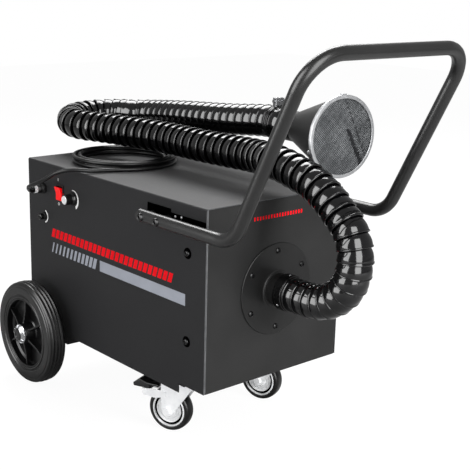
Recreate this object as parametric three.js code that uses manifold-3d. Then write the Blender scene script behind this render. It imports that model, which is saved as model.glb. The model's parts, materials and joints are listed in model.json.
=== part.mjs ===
// Mobile welding fume extractor: a sheet-metal cabinet on two fixed wheels and two braked castors,
// with a push handle, a segmented suction hose that ends in a hood, and a coiled mains lead.
// Millimetres, +Z up, origin on the floor under the middle of the machine's outline.
// Places are given from the cabinet's middle: x towards the inlet end, y across, z up from the floor.

import * as THREE from 'three';
import { mergeVertices, toCreasedNormals } from 'three/addons/utils/BufferGeometryUtils.js';
import Module from 'manifold-3d';

const wasm = await Module();
wasm.setup();

// Clearances and facets
const gap = 0.3;
const overrun = 2;
const weldTolerance = 0.0005;
const creaseAngle = 0.6;
const tyreSides = 24;
const roundSides = 20;
const mediumSides = 16;
const minorSides = 12;
const smallSides = 8;
const tinySides = 6;
const hexSides = 6;
const quarter = Math.PI / 2;

// Cabinet shell. Heights inside it are measured from its base
const cabinet = { length: 540, width: 312, height: 312, floorGap: 116, sheet: 1.5, bend: 2.2 };
const bendSteps = 3;
const baseZ = cabinet.floorGap;
const roofZ = baseZ + cabinet.height;
const halfLength = cabinet.length / 2;
const halfWidth = cabinet.width / 2;
const skirt = { drop: 17, setback: 65.3 };
const tray = { flange: 22 };
const frontPanel = { flange: 62, lip: 18 };
const coverScrew = { setback: 46, low: 80, drop: 81, shank: 2, hole: 2.6, head: 4.5, headHeight: 2.4 };
const rearPanel = { flange: 18, lip: 14 };
const louvre = { count: 8, width: 170, pitch: 20, lowest: 96, slot: 8, hood: 7, wall: 1.2 };
const liningY = halfWidth - cabinet.sheet - gap;
const liningZ = roofZ - cabinet.sheet - gap;
const trayTop = baseZ + cabinet.sheet;
const coverScrewX = halfLength - coverScrew.setback;
const coverScrewZs = [baseZ + coverScrew.low, roofZ - coverScrew.drop];

// Suction side: inlet flange, neck and cuff on the front panel
const inlet = { height: 154, disc: 80, thick: 2, neck: 28, bore: 25.5, reach: 36, inside: 10 };
const inletCollar = { radius: 31, thick: 3 };
const inletScrew = { circle: 67, count: 6, shank: 2, hole: 2.6, head: 5.2, headHeight: 2.6 };
const cuff = { radius: 31.5, length: 20, cover: 14, nipple: 21.8, nippleBore: 19.8, nippleLength: 25 };
const inletZ = baseZ + inlet.height;
const flangeX = halfLength + gap;
const neckEndX = halfLength + inlet.reach;
const cuffShoulderX = neckEndX + gap + cuff.length - cuff.cover;

// Air path inside: filter, partition, fan and motor
const partition = { setback: 240, foot: 16, eye: 58 };
const filter = { depth: 78, side: 256, pleats: 11, media: 2.2, frame: 7, lift: 4 };
const housing = { depth: 64, wall: 1.5, eye: 58, outlet: 34, motorHole: 24 };
const scroll = { start: 92, growth: 30, steps: 20 };
const impeller = { radius: 82, width: 42, plate: 1.6, eye: 52 };
const blades = { count: 7, root: 36, thick: 1.6, sweep: 0.75, steps: 3 };
const impellerHub = { radius: 13, length: 30, clearance: 9 };
const motor = { radius: 52, length: 92, cap: 44, capDepth: 12, foot: 60, footWidth: 96, footSheet: 4 };
const shaft = { radius: 5, bore: 5.5, grip: 40 };
const partitionBack = halfLength - partition.setback;
const housingFront = partitionBack - gap;
const housingBack = housingFront - housing.depth;
const motorFront = housingBack - gap;

// Rear running gear
const rearWheel = { setback: 68, standoff: 42, radius: 100, tyreHalf: 18, tyreInner: 68.4, shoulder: 6.5 };
const groove = { count: 3, depth: 1.8, pitch: 7 };
const rim = { outer: 68, wall: 3, half: 17, web: 4, spokes: 6, fin: 4, finDepth: 28 };
const hub = { radius: 22, taper: 19, bore: 10.6, standoff: 1.4, length: 64 };
const axle = { radius: 10, hole: 10.4, slot: 11 };
const hubCap = { radius: 19, depth: 7.5, face: 12, wall: 2.2 };
const axleBracket = { inset: 10, sheet: 3, front: 142.5, rear: 66, toe: 51, drop: 40, ledge: 26 };
const axleZ = rearWheel.radius;
const rearAxleX = rearWheel.setback - halfLength;
const rearWheelY = halfWidth + rearWheel.standoff;
const bracketY = halfWidth - axleBracket.inset;
const hubInnerY = halfWidth + hub.standoff;
const hubEndY = hubInnerY + hub.length;
const axleEndY = hubEndY + gap + hubCap.depth - hubCap.wall;

// Front castors. Their own places are from the swivel axis, x in the rolling direction
const rail = { height: 8, width: 74, wall: 2, overhang: 40 };
const castor = { setback: 98, inset: 48, trail: 33, wheel: 40, half: 11 };
const castorTop = { thick: 2.5, length: 92, width: 68, race: 24, raceDepth: 6 };
const castorHole = { radius: 3.4, x: 36, y: 25 };
const kingpin = { radius: 6, head: 8.5, headHeight: 5, hole: 6.5 };
const fork = { crown: 2.5, cheek: 2.5, inner: 13.4, rearX: -46, noseX: 12, noseDrop: 14, web: 23 };
const forkEye = { radius: 11.5, start: -30, sweep: 150, steps: 3 };
const forkAxle = { radius: 4, head: 7, headHeight: 4 };
const castorHub = { radius: 12, half: 12.8, bore: 4.6, rim: 31.2, rimWall: 3, web: 6, ring: 25 };
const castorTyre = { bore: 31.6, shoulder: 3 };
const lever = { sheet: 1.6, inner: 17.2, pin: 2.4, hole: 2.9, pivotX: -41, pivotZ: 70, bridge: 2.4 };
const pad = { half: 16.5 };
const castorSwivel = { near: Math.atan2(0.392, 0.92), far: Math.atan2(0.306, 0.952) };
const castorX = halfLength - castor.setback;
const castorY = halfWidth - castor.inset;
const plateTopZ = baseZ - gap - rail.height - gap;
const raceZ = plateTopZ - castorTop.thick - castorTop.raceDepth;
const crownTopZ = raceZ - gap;
const crownZ = crownTopZ - fork.crown;

// Push handle: one bent tube, bolted to both sides of the cabinet
const handle = { tube: 11, bore: 9.4, standoff: 18, drop: 35, setback: 148 };
const crossbar = { kneeReach: 82.7, reach: 229.6, rise: 257 };
const handleBend = { knee: 55, corner: 60, steps: 4, sides: 10 };
const handleBolt = { setbacks: [136, 94], shank: 3, hole: 3.8, head: 6, headHeight: 3.2 };
const handleNut = { radius: 5.5, height: 4 };
const spacer = { radius: 9, bore: 3.8, saddle: 11.6 };
const endPlug = { depth: 7, flange: 2.4, squeeze: 1.3 };
const handleY = halfWidth + handle.standoff;
const handleZ = roofZ - handle.drop;
const handleEndX = halfLength - handle.setback;
const handleBoltXs = handleBolt.setbacks.map((setback) => halfLength - setback);
const kneeX = halfLength + crossbar.kneeReach;
const crossbarX = halfLength + crossbar.reach;
const crossbarZ = roofZ + crossbar.rise;

// Controls on the near side, each set back from the cabinet's rear edge and dropped from its roof
const rocker = {
  setback: 113.6, drop: 50.3, width: 18.4, height: 25.4, tilt: 0.15, pivot: 1.2, pivotHole: 1.6,
};
const rockerFace = { back: 7, shoulder: 3.2, crest: 5.6, valley: 3.6 };
const bezel = { width: 25, height: 32, flange: 2, wall: 1.5, depth: 16, clearance: 0.7 };
const knob = {
  setback: 157, drop: 53.4, skirt: 12, grip: 9.6, top: 8.4, skirtHeight: 5, height: 19, flutes: 10,
};
const knobShaft = { radius: 3, hole: 3.6, depth: 12 };
const speedControl = { side: 26, depth: 11 };
const fuse = { setback: 56, drop: 105.5, body: 5.8, hole: 6.5, bore: 3.6, depth: 30, wall: 2 };
const fuseRing = { radius: 7.5, height: 4 };
const fuseCap = { radius: 6.2, height: 8, stem: 3, stemDepth: 20, slot: 1.2, slotDepth: 1.4 };
const gland = { setback: 57.4, drop: 50.3, thread: 5.8, hole: 6.5, hex: 10.5, hexHeight: 6 };
const glandDome = { radius: 8.5, tip: 5, reach: 20, nut: 4 };
const rockerX = rocker.setback - halfLength;
const knobX = knob.setback - halfLength;
const fuseX = fuse.setback - halfLength;
const glandX = gland.setback - halfLength;

// Hose, with its centre line from the cuff to the hood
const hose = { radius: 29, valley: 26.4, bore: 24.9, pitch: 20, lipShare: 0.8, sides: 8 };
const boreSpan = { turn: 0.17, ribs: 5 };
const hoseBend = { x: -262, y: -33, z: 482, radius: 68, heading: 197.5, rise: 11, step: 17.5 };
const hoseFront = [
  [312.6, 0, 270], [340, 0, 270], [366, 0, 271.5], [397, 0, 281.5], [425, 0, 304],
  [440, 0, 332], [443, 0, 371], [428, 0, 406], [408, 0, 424.5], [383, 0, 444.5],
  [347, 0, 465], [315, 0, 474.5], [283, 2, 481], [245, 6, 484.5], [184, 20, 483],
  [121, 20, 481.5], [43, 16, 481], [-39, 16, 481.5], [-143, -2, 482], [-220, -20, 482],
];
const hoseBack = [
  [-254, 118, 495], [-134, 118, 506.5], [11, 118, 517], [80, 121.5, 523.5], [105, 122.7, 525.5],
];

// Hood at the end of the hose, turned about its own axis
const hood = { x: 164, y: 116.3, z: 526, yaw: -0.1084, wall: 1.4 };
const cone = { neck: 27, neckLength: 36, mouth: 68, length: 148 };
const hoodNipple = { radius: 21.8, bore: 19.8, length: 25 };
const hoodRim = { radius: 70, wall: 1.5, back: 11, lip: 4, lipWall: 1.2 };
const hoodMesh = { thick: 1.2, radius: 67.8, cell: 13.4, bar: 2.6, border: 3.4 };
const hoseClamp = { wall: 1.3, width: 11, setback: 12, lug: 13, lugThick: 3.4, lugWidth: 9 };
const hoodAxis = new THREE.Vector3(Math.cos(hood.yaw), Math.sin(hood.yaw), 0);
const hoodNeck = new THREE.Vector3(hood.x, hood.y, hood.z);

// Mains lead: from the gland over the edge, into a flat coil on the roof, and on to its plug
const cord = { radius: 4, sides: 8, leadSteps: 18, tailSteps: 8 };
const coil = { x: -131, y: -30, outer: 101, pitch: 10.5, rise: 9, start: -35 };
const coilTurns = { lower: 2, climb: 0.5, upper: 1.75, steps: 24, sides: 6 };
const leadRoute = [
  [-212.6, -176.3, 377.7], [-212.6, -184.5, 377.7], [-204, -194, 384], [-188, -200, 391.5],
  [-168, -201, 399], [-148, -199.5, 407.5], [-131, -197, 416.5], [-115, -192, 426],
  [-102, -184, 431.5], [-89, -173, 434.5], [-78, -158, 434], [-69, -141, 432.5], [-60, -116, 432.4],
];
const tailRoute = [
  [-100, 70, 440], [-117, 81, 437], [-135, 87, 435], [-150, 88, 436.5], [-158, 88, 438.3],
  [-166, 88, 438.3],
];
const plug = { length: 48, width: 46, height: 20, corner: 9, entry: 6, entryLength: 7, taper: 7 };
const plugPin = { length: 17.5, width: 6.3, thick: 4, spread: 11, back: 9, earthLength: 20, earthWidth: 8 };

// Whole machine: the origin lies midway between the rear wheels' back and the handle's front
const rearReach = rearWheel.radius - rearAxleX;
const frontReach = crossbarX + handle.tube;
const cabinetX = (rearReach - frontReach) / 2;

const up = new THREE.Vector3(0, 0, 1);
const alongX = new THREE.Vector3(1, 0, 0);
const alongY = new THREE.Vector3(0, 1, 0);

const finishes = {
  powderCoat: new THREE.MeshStandardMaterial({ color: 0x2b2b2d, roughness: 0.62, metalness: 0.1 }),
  tubeCoat: new THREE.MeshStandardMaterial({ color: 0x3a3a3c, roughness: 0.45, metalness: 0.2 }),
  blackPlastic: new THREE.MeshStandardMaterial({ color: 0x151516, roughness: 0.5, metalness: 0 }),
  glossPlastic: new THREE.MeshStandardMaterial({ color: 0x111113, roughness: 0.18, metalness: 0 }),
  rubber: new THREE.MeshStandardMaterial({ color: 0x1d1d1e, roughness: 0.75, metalness: 0 }),
  zinc: new THREE.MeshStandardMaterial({ color: 0xc9cbcd, roughness: 0.35, metalness: 0.9 }),
  chrome: new THREE.MeshStandardMaterial({ color: 0xd8dadc, roughness: 0.12, metalness: 1 }),
  aluminium: new THREE.MeshStandardMaterial({ color: 0xb9babc, roughness: 0.4, metalness: 0.9 }),
  wire: new THREE.MeshStandardMaterial({ color: 0x77797b, roughness: 0.45, metalness: 0.8 }),
  greyPlastic: new THREE.MeshStandardMaterial({ color: 0xd9dadb, roughness: 0.5, metalness: 0 }),
  red: new THREE.MeshStandardMaterial({ color: 0xc8101c, roughness: 0.3, metalness: 0 }),
  paper: new THREE.MeshStandardMaterial({ color: 0xd8d2c2, roughness: 0.9, metalness: 0 }),
};

// A closed skin: shared corners merged, empty triangles dropped, faces pointing outwards
function weld(geometry) {
  const bare = new THREE.BufferGeometry();
  bare.setAttribute('position', geometry.getAttribute('position').clone());
  if (geometry.index) {
    bare.setIndex(geometry.index.clone());
  }
  const merged = mergeVertices(bare, weldTolerance);
  const corners = merged.index.array;
  const kept = [];
  for (let i = 0; i < corners.length; i += 3) {
    const [a, b, c] = [corners[i], corners[i + 1], corners[i + 2]];
    if (a !== b && b !== c && c !== a) {
      kept.push(a, b, c);
    }
  }
  merged.setIndex(kept);
  if (volumeOf(merged) < 0) {
    merged.setIndex(kept.reverse());
  }
  return merged;
}

function volumeOf(geometry) {
  const position = geometry.getAttribute('position');
  const corners = geometry.index.array;
  const [a, b, c] = [new THREE.Vector3(), new THREE.Vector3(), new THREE.Vector3()];
  let sixfold = 0;
  for (let i = 0; i < corners.length; i += 3) {
    a.fromBufferAttribute(position, corners[i]);
    b.fromBufferAttribute(position, corners[i + 1]);
    c.fromBufferAttribute(position, corners[i + 2]);
    sixfold += a.dot(b.cross(c));
  }
  return sixfold / 6;
}

function solid(geometry) {
  const skin = weld(geometry);
  return new wasm.Manifold(new wasm.Mesh({
    numProp: 3,
    vertProperties: Float32Array.from(skin.getAttribute('position').array),
    triVerts: Uint32Array.from(skin.index.array),
  }));
}

function skinOf(body) {
  const mesh = body.getMesh();
  const geometry = new THREE.BufferGeometry();
  geometry.setAttribute('position', new THREE.BufferAttribute(Float32Array.from(mesh.vertProperties), 3));
  geometry.setIndex(Array.from(mesh.triVerts));
  return geometry;
}

function join(first, ...others) {
  return skinOf(others.reduce((body, other) => body.add(solid(other)), solid(first)));
}

function cut(first, ...tools) {
  return skinOf(tools.reduce((body, tool) => body.subtract(solid(tool)), solid(first)));
}

// A box between two corners, given in any order
function block(x0, x1, y0, y1, z0, z1) {
  const box = new THREE.BoxGeometry(Math.abs(x1 - x0), Math.abs(y1 - y0), Math.abs(z1 - z0));
  return box.translate((x0 + x1) / 2, (y0 + y1) / 2, (z0 + z1) / 2);
}

// An outline of radius and height pairs, closed on itself or on the axis, turned about an axis
function turned(outline, sides, at = new THREE.Vector3(), axis = alongY) {
  const loop = [...outline, outline[0]].map(([radius, height]) => new THREE.Vector2(radius, height));
  const turn = new THREE.Quaternion().setFromUnitVectors(alongY, axis.clone().normalize());
  return new THREE.LatheGeometry(loop, sides).applyQuaternion(turn).translate(at.x, at.y, at.z);
}

function rod(radius, from, to, sides = smallSides) {
  const axis = to.clone().sub(from);
  const length = axis.length();
  return turned([[0, 0], [radius, 0], [radius, length], [0, length]], sides, from, axis);
}

function rodAlong(axis, radius, at, reach, sides = smallSides) {
  return rod(radius, at, at.clone().addScaledVector(axis, reach), sides);
}

// An outline drawn in two axes and given its thickness along the third
const planes = {
  xy: new THREE.Matrix4(),
  yz: new THREE.Matrix4().makeBasis(alongY, up, alongX),
  xz: new THREE.Matrix4().makeBasis(alongX, up, alongY),
};

function plate(outline, from, to, plane, holes = [], curveSegments = smallSides) {
  const shape = outline instanceof THREE.Shape ? outline : shapeOf(outline);
  shape.holes.push(...holes);
  const depth = to - from;
  const geometry = new THREE.ExtrudeGeometry(shape, { depth, bevelEnabled: false, curveSegments });
  return geometry.translate(0, 0, from).applyMatrix4(planes[plane]);
}

function shapeOf(outline) {
  return new THREE.Shape(outline.map(([u, v]) => new THREE.Vector2(u, v)));
}

// Skin over rings of corners, its ends closed flat, or run into each other as a loop
function loft(rings, loop = false) {
  const sides = rings[0].length;
  const corners = rings.flat().flatMap((point) => [point.x, point.y, point.z]);
  const index = [];
  const spans = loop ? rings.length : rings.length - 1;
  for (let i = 0; i < spans; i += 1) {
    const here = i * sides;
    const next = ((i + 1) % rings.length) * sides;
    for (let j = 0; j < sides; j += 1) {
      const k = (j + 1) % sides;
      index.push(here + j, here + k, next + k, here + j, next + k, next + j);
    }
  }
  if (!loop) {
    const end = (rings.length - 1) * sides;
    for (let j = 1; j < sides - 1; j += 1) {
      index.push(0, j + 1, j, end, end + j, end + j + 1);
    }
  }
  const geometry = new THREE.BufferGeometry();
  geometry.setAttribute('position', new THREE.Float32BufferAttribute(corners, 3));
  geometry.setIndex(index);
  return geometry;
}

// Directions of a path at its points, and a sideways direction carried along without twist
function framesAlong(path) {
  const count = path.length;
  const frames = [];
  let side = null;
  for (let i = 0; i < count; i += 1) {
    const back = path[i].clone().sub(path[Math.max(i - 1, 0)]).normalize();
    const ahead = path[Math.min(i + 1, count - 1)].clone().sub(path[i]).normalize();
    const tangent = back.add(ahead).normalize();
    if (side === null) {
      side = Math.abs(tangent.z) > Math.abs(tangent.x) ? alongX.clone() : up.clone();
    }
    side = side.clone().addScaledVector(tangent, -side.dot(tangent)).normalize();
    frames.push({ at: path[i], tangent, side, across: tangent.clone().cross(side) });
  }
  return frames;
}

function ringAt(frame, radius, sides) {
  const ring = [];
  for (let j = 0; j < sides; j += 1) {
    const angle = (2 * Math.PI * j) / sides;
    const point = frame.at.clone().addScaledVector(frame.side, radius * Math.cos(angle));
    ring.push(point.addScaledVector(frame.across, radius * Math.sin(angle)));
  }
  return ring;
}

// A bent line: straight runs between corners, each corner rounded to its own radius
function bentPath(corners, radii, steps) {
  const path = [corners[0]];
  for (let i = 1; i < corners.length - 1; i += 1) {
    const into = corners[i].clone().sub(corners[i - 1]).normalize();
    const out = corners[i + 1].clone().sub(corners[i]).normalize();
    const angle = into.angleTo(out);
    const radius = radii[i - 1];
    const start = corners[i].clone().addScaledVector(into, -radius * Math.tan(angle / 2));
    const inward = out.clone().addScaledVector(into, -Math.cos(angle)).normalize();
    for (let j = 0; j <= steps; j += 1) {
      const turn = (angle * j) / steps;
      const point = start.clone().addScaledVector(into, radius * Math.sin(turn));
      path.push(point.addScaledVector(inward, radius * (1 - Math.cos(turn))));
    }
  }
  path.push(corners[corners.length - 1]);
  return path;
}

function pointsOf(rows) {
  return rows.map(([x, y, z]) => new THREE.Vector3(x, y, z));
}

const fumeExtractor = new THREE.Group();
const machine = new THREE.Group();
machine.position.x = cabinetX;
fumeExtractor.add(machine);

function place(name, geometry, finish, parent = machine) {
  const mesh = new THREE.Mesh(toCreasedNormals(weld(geometry), creaseAngle), finishes[finish]);
  mesh.name = name;
  parent.add(mesh);
  return mesh;
}

const sides = [
  { name: 'near', side: -1 },
  { name: 'far', side: 1 },
];

// Cover: top and both long sides in one folded sheet, with skirts below the base
function coverSection() {
  const { sheet, bend } = cabinet;
  const section = new THREE.Shape();
  const foot = baseZ - skirt.drop;
  section.moveTo(halfWidth, foot);
  section.lineTo(halfWidth, roofZ - bend);
  section.absarc(halfWidth - bend, roofZ - bend, bend, 0, quarter, false);
  section.absarc(bend - halfWidth, roofZ - bend, bend, quarter, Math.PI, false);
  section.lineTo(-halfWidth, foot);
  section.lineTo(sheet - halfWidth, foot);
  section.lineTo(sheet - halfWidth, roofZ - bend);
  section.absarc(bend - halfWidth, roofZ - bend, bend - sheet, Math.PI, quarter, true);
  section.absarc(halfWidth - bend, roofZ - bend, bend - sheet, quarter, 0, true);
  section.lineTo(halfWidth - sheet, foot);
  return section;
}

function sideHole(x, z, radius, side, holeSides = smallSides) {
  const from = new THREE.Vector3(x, side * (halfWidth + overrun), z);
  return rodAlong(alongY, radius, from, -side * (cabinet.sheet + 2 * overrun), holeSides);
}

function makeCover() {
  const blank = plate(coverSection(), -halfLength, halfLength, 'yz', [], bendSteps);
  const notchStart = halfLength - skirt.setback;
  const footZ = baseZ - skirt.drop - overrun;
  const wide = halfWidth + overrun;
  const notch = block(notchStart, halfLength + overrun, -wide, wide, footZ, baseZ);
  const bezelBody = { width: bezel.width - 2 * bezel.wall, height: bezel.height - 2 * bezel.wall };
  const switchZ = roofZ - rocker.drop;
  const switchHole = block(
    rockerX - bezelBody.width / 2 - gap, rockerX + bezelBody.width / 2 + gap,
    -wide, -halfWidth + cabinet.sheet + overrun,
    switchZ - bezelBody.height / 2 - gap, switchZ + bezelBody.height / 2 + gap,
  );
  const tools = [
    notch,
    switchHole,
    sideHole(knobX, roofZ - knob.drop, knobShaft.hole, -1),
    sideHole(fuseX, roofZ - fuse.drop, fuse.hole, -1),
    sideHole(glandX, roofZ - gland.drop, gland.hole, -1),
    block(rearAxleX - axle.slot, rearAxleX + axle.slot, -wide, wide, footZ, axleZ + axle.slot),
  ];
  for (const { side } of sides) {
    for (const x of handleBoltXs) {
      tools.push(sideHole(x, handleZ, handleBolt.hole, side, tinySides));
    }
    for (const z of coverScrewZs) {
      tools.push(sideHole(coverScrewX, z, coverScrew.hole, side, tinySides));
    }
  }
  place('cover', cut(blank, ...tools), 'powderCoat');
}

// Base tray: a floor with upturned flanges between the end panels
function makeTray() {
  const { sheet } = cabinet;
  const flangeTop = baseZ + tray.flange;
  const end = halfLength - sheet - gap;
  const section = [
    [-liningY, baseZ], [liningY, baseZ], [liningY, flangeTop], [liningY - sheet, flangeTop],
    [liningY - sheet, trayTop], [sheet - liningY, trayTop], [sheet - liningY, flangeTop],
    [-liningY, flangeTop],
  ];
  place('base_tray', plate(section, -end, end, 'yz'), 'powderCoat');
}

// An end panel: a face sheet set inside the cover, with side flanges and a top lip turned inwards
function endPanel(direction, flange, lip) {
  const { sheet } = cabinet;
  const outer = direction * halfLength;
  const inner = direction * (halfLength - sheet);
  const flangeEnd = direction * (halfLength - flange);
  const lipEnd = direction * (halfLength - lip);
  const flangeFoot = baseZ + tray.flange + gap;
  return join(
    block(inner, outer, -liningY, liningY, baseZ, liningZ),
    block(flangeEnd, outer, liningY - sheet, liningY, flangeFoot, liningZ),
    block(flangeEnd, outer, sheet - liningY, -liningY, flangeFoot, liningZ),
    block(lipEnd, outer, -liningY, liningY, liningZ - sheet, liningZ),
  );
}

// The cover's screws stay in the front panel's side flanges
function coverScrews() {
  const screws = [];
  for (const { side } of sides) {
    for (const height of coverScrewZs) {
      const tip = new THREE.Vector3(coverScrewX, side * (liningY - cabinet.sheet), height);
      const outward = new THREE.Vector3(0, side, 0);
      const headFoot = tip.clone().setY(side * (halfWidth + gap));
      const shankLength = Math.abs(headFoot.y - tip.y) + coverScrew.headHeight / 2;
      screws.push(rodAlong(outward, coverScrew.shank, tip, shankLength, tinySides));
      screws.push(rodAlong(outward, coverScrew.head, headFoot, coverScrew.headHeight, tinySides));
    }
  }
  return screws;
}

function inletScrewPlaces() {
  const places = [];
  for (let i = 0; i < inletScrew.count; i += 1) {
    const angle = ((i + 0.5) * 2 * Math.PI) / inletScrew.count;
    places.push([inletScrew.circle * Math.cos(angle), inletZ + inletScrew.circle * Math.sin(angle)]);
  }
  return places;
}

function makeFrontPanel() {
  const depth = cabinet.sheet + 2 * overrun;
  const start = halfLength + overrun;
  const mouth = rodAlong(alongX, inlet.neck + gap, new THREE.Vector3(start, 0, inletZ), -depth, roundSides);
  const holes = inletScrewPlaces().map(([y, z]) => (
    rodAlong(alongX, inletScrew.hole, new THREE.Vector3(start, y, z), -depth, tinySides)
  ));
  const panel = cut(endPanel(1, frontPanel.flange, frontPanel.lip), mouth, ...holes);
  place('front_panel', join(panel, ...coverScrews()), 'powderCoat');
}

// Exhaust louvres: slots pressed out of the rear panel, each under a hood that opens downwards
function makeRearPanel() {
  const face = -halfLength;
  const inside = face + cabinet.sheet;
  const half = louvre.width / 2;
  const hoods = [];
  const slots = [];
  for (let i = 0; i < louvre.count; i += 1) {
    const foot = baseZ + louvre.lowest + i * louvre.pitch;
    const top = foot + louvre.slot;
    const crest = top + louvre.hood;
    const outer = [[inside, foot], [face - louvre.hood, foot], [inside, crest]];
    const inner = [
      [inside + overrun, foot - overrun], [face - louvre.hood + louvre.wall, foot - overrun],
      [face - louvre.hood + louvre.wall, foot], [inside, crest - 2 * louvre.wall], [inside + overrun, top],
    ];
    hoods.push(plate(outer, -half, half, 'xz'));
    slots.push(plate(inner, louvre.wall - half, half - louvre.wall, 'xz'));
  }
  const panel = join(endPanel(-1, rearPanel.flange, rearPanel.lip), ...hoods);
  place('rear_panel', cut(panel, ...slots), 'powderCoat');
}

// Partition with the fan's eye, standing on the tray
function makePartition() {
  const { sheet } = cabinet;
  const half = liningY - sheet - gap;
  const foot = trayTop + gap;
  const front = partitionBack + sheet;
  const sheetBody = join(
    block(partitionBack, front, -half, half, foot, liningZ - gap),
    block(partitionBack - partition.foot, front, -half, half, foot, foot + sheet),
  );
  const eyeAt = new THREE.Vector3(front + overrun, 0, inletZ);
  const eye = rodAlong(alongX, partition.eye, eyeAt, -(sheet + 2 * overrun), roundSides);
  place('partition', cut(sheetBody, eye), 'zinc');
}

// Filter: folded media in a frame, leaning on the partition
function makeFilter() {
  const { depth, side, pleats, media, frame, lift } = filter;
  const back = partitionBack + cabinet.sheet + gap;
  const front = back + depth;
  const half = side / 2;
  const foot = trayTop + gap;
  const top = foot + side;
  const span = (side - 2 * frame) / pleats;
  const nearFace = [];
  const farFace = [];
  for (let i = 0; i <= 2 * pleats; i += 1) {
    const y = frame - half + (i * span) / 2;
    const x = i % 2 === 0 ? back + lift : front - lift;
    nearFace.push([x - media / 2, y]);
    farFace.push([x + media / 2, y]);
  }
  const folds = plate([...nearFace, ...farFace.reverse()], foot + frame / 2, top - frame / 2, 'xy');
  const outside = block(back, front, -half, half, foot, top);
  const inside = block(
    back - overrun, front + overrun, frame - half, half - frame, foot + frame, top - frame,
  );
  place('filter', join(cut(outside, inside), folds), 'paper');
}

// Fan housing: a scroll that widens towards its outlet at the top
function scrollOutline(inset) {
  const outline = [];
  for (let i = 0; i <= scroll.steps; i += 1) {
    const share = i / scroll.steps;
    const angle = share * 2 * Math.PI;
    const radius = scroll.start + scroll.growth * share - inset;
    outline.push([radius * Math.cos(angle), inletZ + radius * Math.sin(angle)]);
  }
  return outline;
}

function makeHousing() {
  const { wall, outlet } = housing;
  const mouthY = [scroll.start - overrun, scroll.start + scroll.growth];
  const mouthTop = inletZ + outlet;
  const outerBody = join(
    plate(scrollOutline(0), housingBack, housingFront, 'yz'),
    block(housingBack, housingFront, mouthY[0], mouthY[1], inletZ - overrun, mouthTop),
  );
  const hollowBack = housingBack + wall;
  const hollowFront = housingFront - wall;
  const hollow = plate(scrollOutline(wall), hollowBack, hollowFront, 'yz');
  const throat = block(
    hollowBack, hollowFront, mouthY[0] + wall, mouthY[1] - wall,
    inletZ - 2 * overrun, mouthTop + overrun,
  );
  const through = housing.depth + 2 * overrun;
  const front = new THREE.Vector3(housingFront + overrun, 0, inletZ);
  const middle = new THREE.Vector3(hollowBack + overrun, 0, inletZ);
  place('fan_housing', cut(
    outerBody, hollow, throat,
    rodAlong(alongX, housing.eye, front, -through / 2, mediumSides),
    rodAlong(alongX, housing.motorHole, middle, -through / 2, mediumSides),
  ), 'zinc');
}

// Impeller: swept-back blades between a back plate and a front ring, on the motor's shaft
function bladeOutline(turn) {
  const { root, thick, sweep, steps } = blades;
  const inner = [];
  const outer = [];
  const end = impeller.radius - impeller.plate;
  for (let i = 0; i <= steps; i += 1) {
    const share = i / steps;
    const reach = root + (end - root) * share;
    const angle = turn - sweep * share * share;
    const across = thick / 2 / reach;
    inner.push([reach * Math.cos(angle - across), inletZ + reach * Math.sin(angle - across)]);
    outer.push([reach * Math.cos(angle + across), inletZ + reach * Math.sin(angle + across)]);
  }
  return [...inner, ...outer.reverse()];
}

function makeImpeller(parent) {
  const { radius, width, plate: sheet, eye } = impeller;
  const back = housingBack + housing.wall + impellerHub.clearance;
  const front = back + width;
  const centre = new THREE.Vector3(back, 0, inletZ);
  const backPlate = rodAlong(alongX, radius, centre, sheet, mediumSides);
  const frontRing = turned(
    [[eye, width - sheet], [radius, width - sheet], [radius, width], [eye, width]],
    mediumSides, centre, alongX,
  );
  const vanes = [];
  for (let i = 0; i < blades.count; i += 1) {
    const vane = bladeOutline((i * 2 * Math.PI) / blades.count);
    vanes.push(plate(vane, back + sheet / 2, front - sheet / 2, 'yz'));
  }
  const boss = rodAlong(alongX, impellerHub.radius, centre, impellerHub.length, mediumSides);
  const shaftStart = motorFront - shaft.grip;
  const spindle = rodAlong(
    alongX, shaft.radius, new THREE.Vector3(shaftStart, 0, inletZ), back + sheet - shaftStart, mediumSides,
  );
  place('impeller', join(backPlate, frontRing, boss, spindle, ...vanes), 'aluminium', parent);
}

// Motor on a folded pedestal
function makeMotor() {
  const { radius, length, cap, capDepth, foot, footWidth, footSheet } = motor;
  const centre = new THREE.Vector3(motorFront - length, 0, inletZ);
  const can = turned([
    [0, 0], [cap, 0], [radius, capDepth], [radius, length - capDepth], [cap, length], [0, length],
  ], mediumSides, centre, alongX);
  const middle = motorFront - length / 2;
  const footZ = trayTop + gap;
  const saddleZ = inletZ - radius / 4;
  const half = footWidth / 2;
  const pedestal = join(
    block(middle - foot / 2, middle + foot / 2, -half, half, footZ, footZ + footSheet),
    block(middle - foot / 2, middle + foot / 2, -half, footSheet - half, footZ, saddleZ),
    block(middle - foot / 2, middle + foot / 2, half - footSheet, half, footZ, saddleZ),
  );
  const bore = rodAlong(
    alongX, shaft.bore, new THREE.Vector3(motorFront + overrun, 0, inletZ),
    -(shaft.grip + 2 * overrun), mediumSides,
  );
  place('motor', cut(join(can, pedestal), bore), 'blackPlastic');
}

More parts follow.
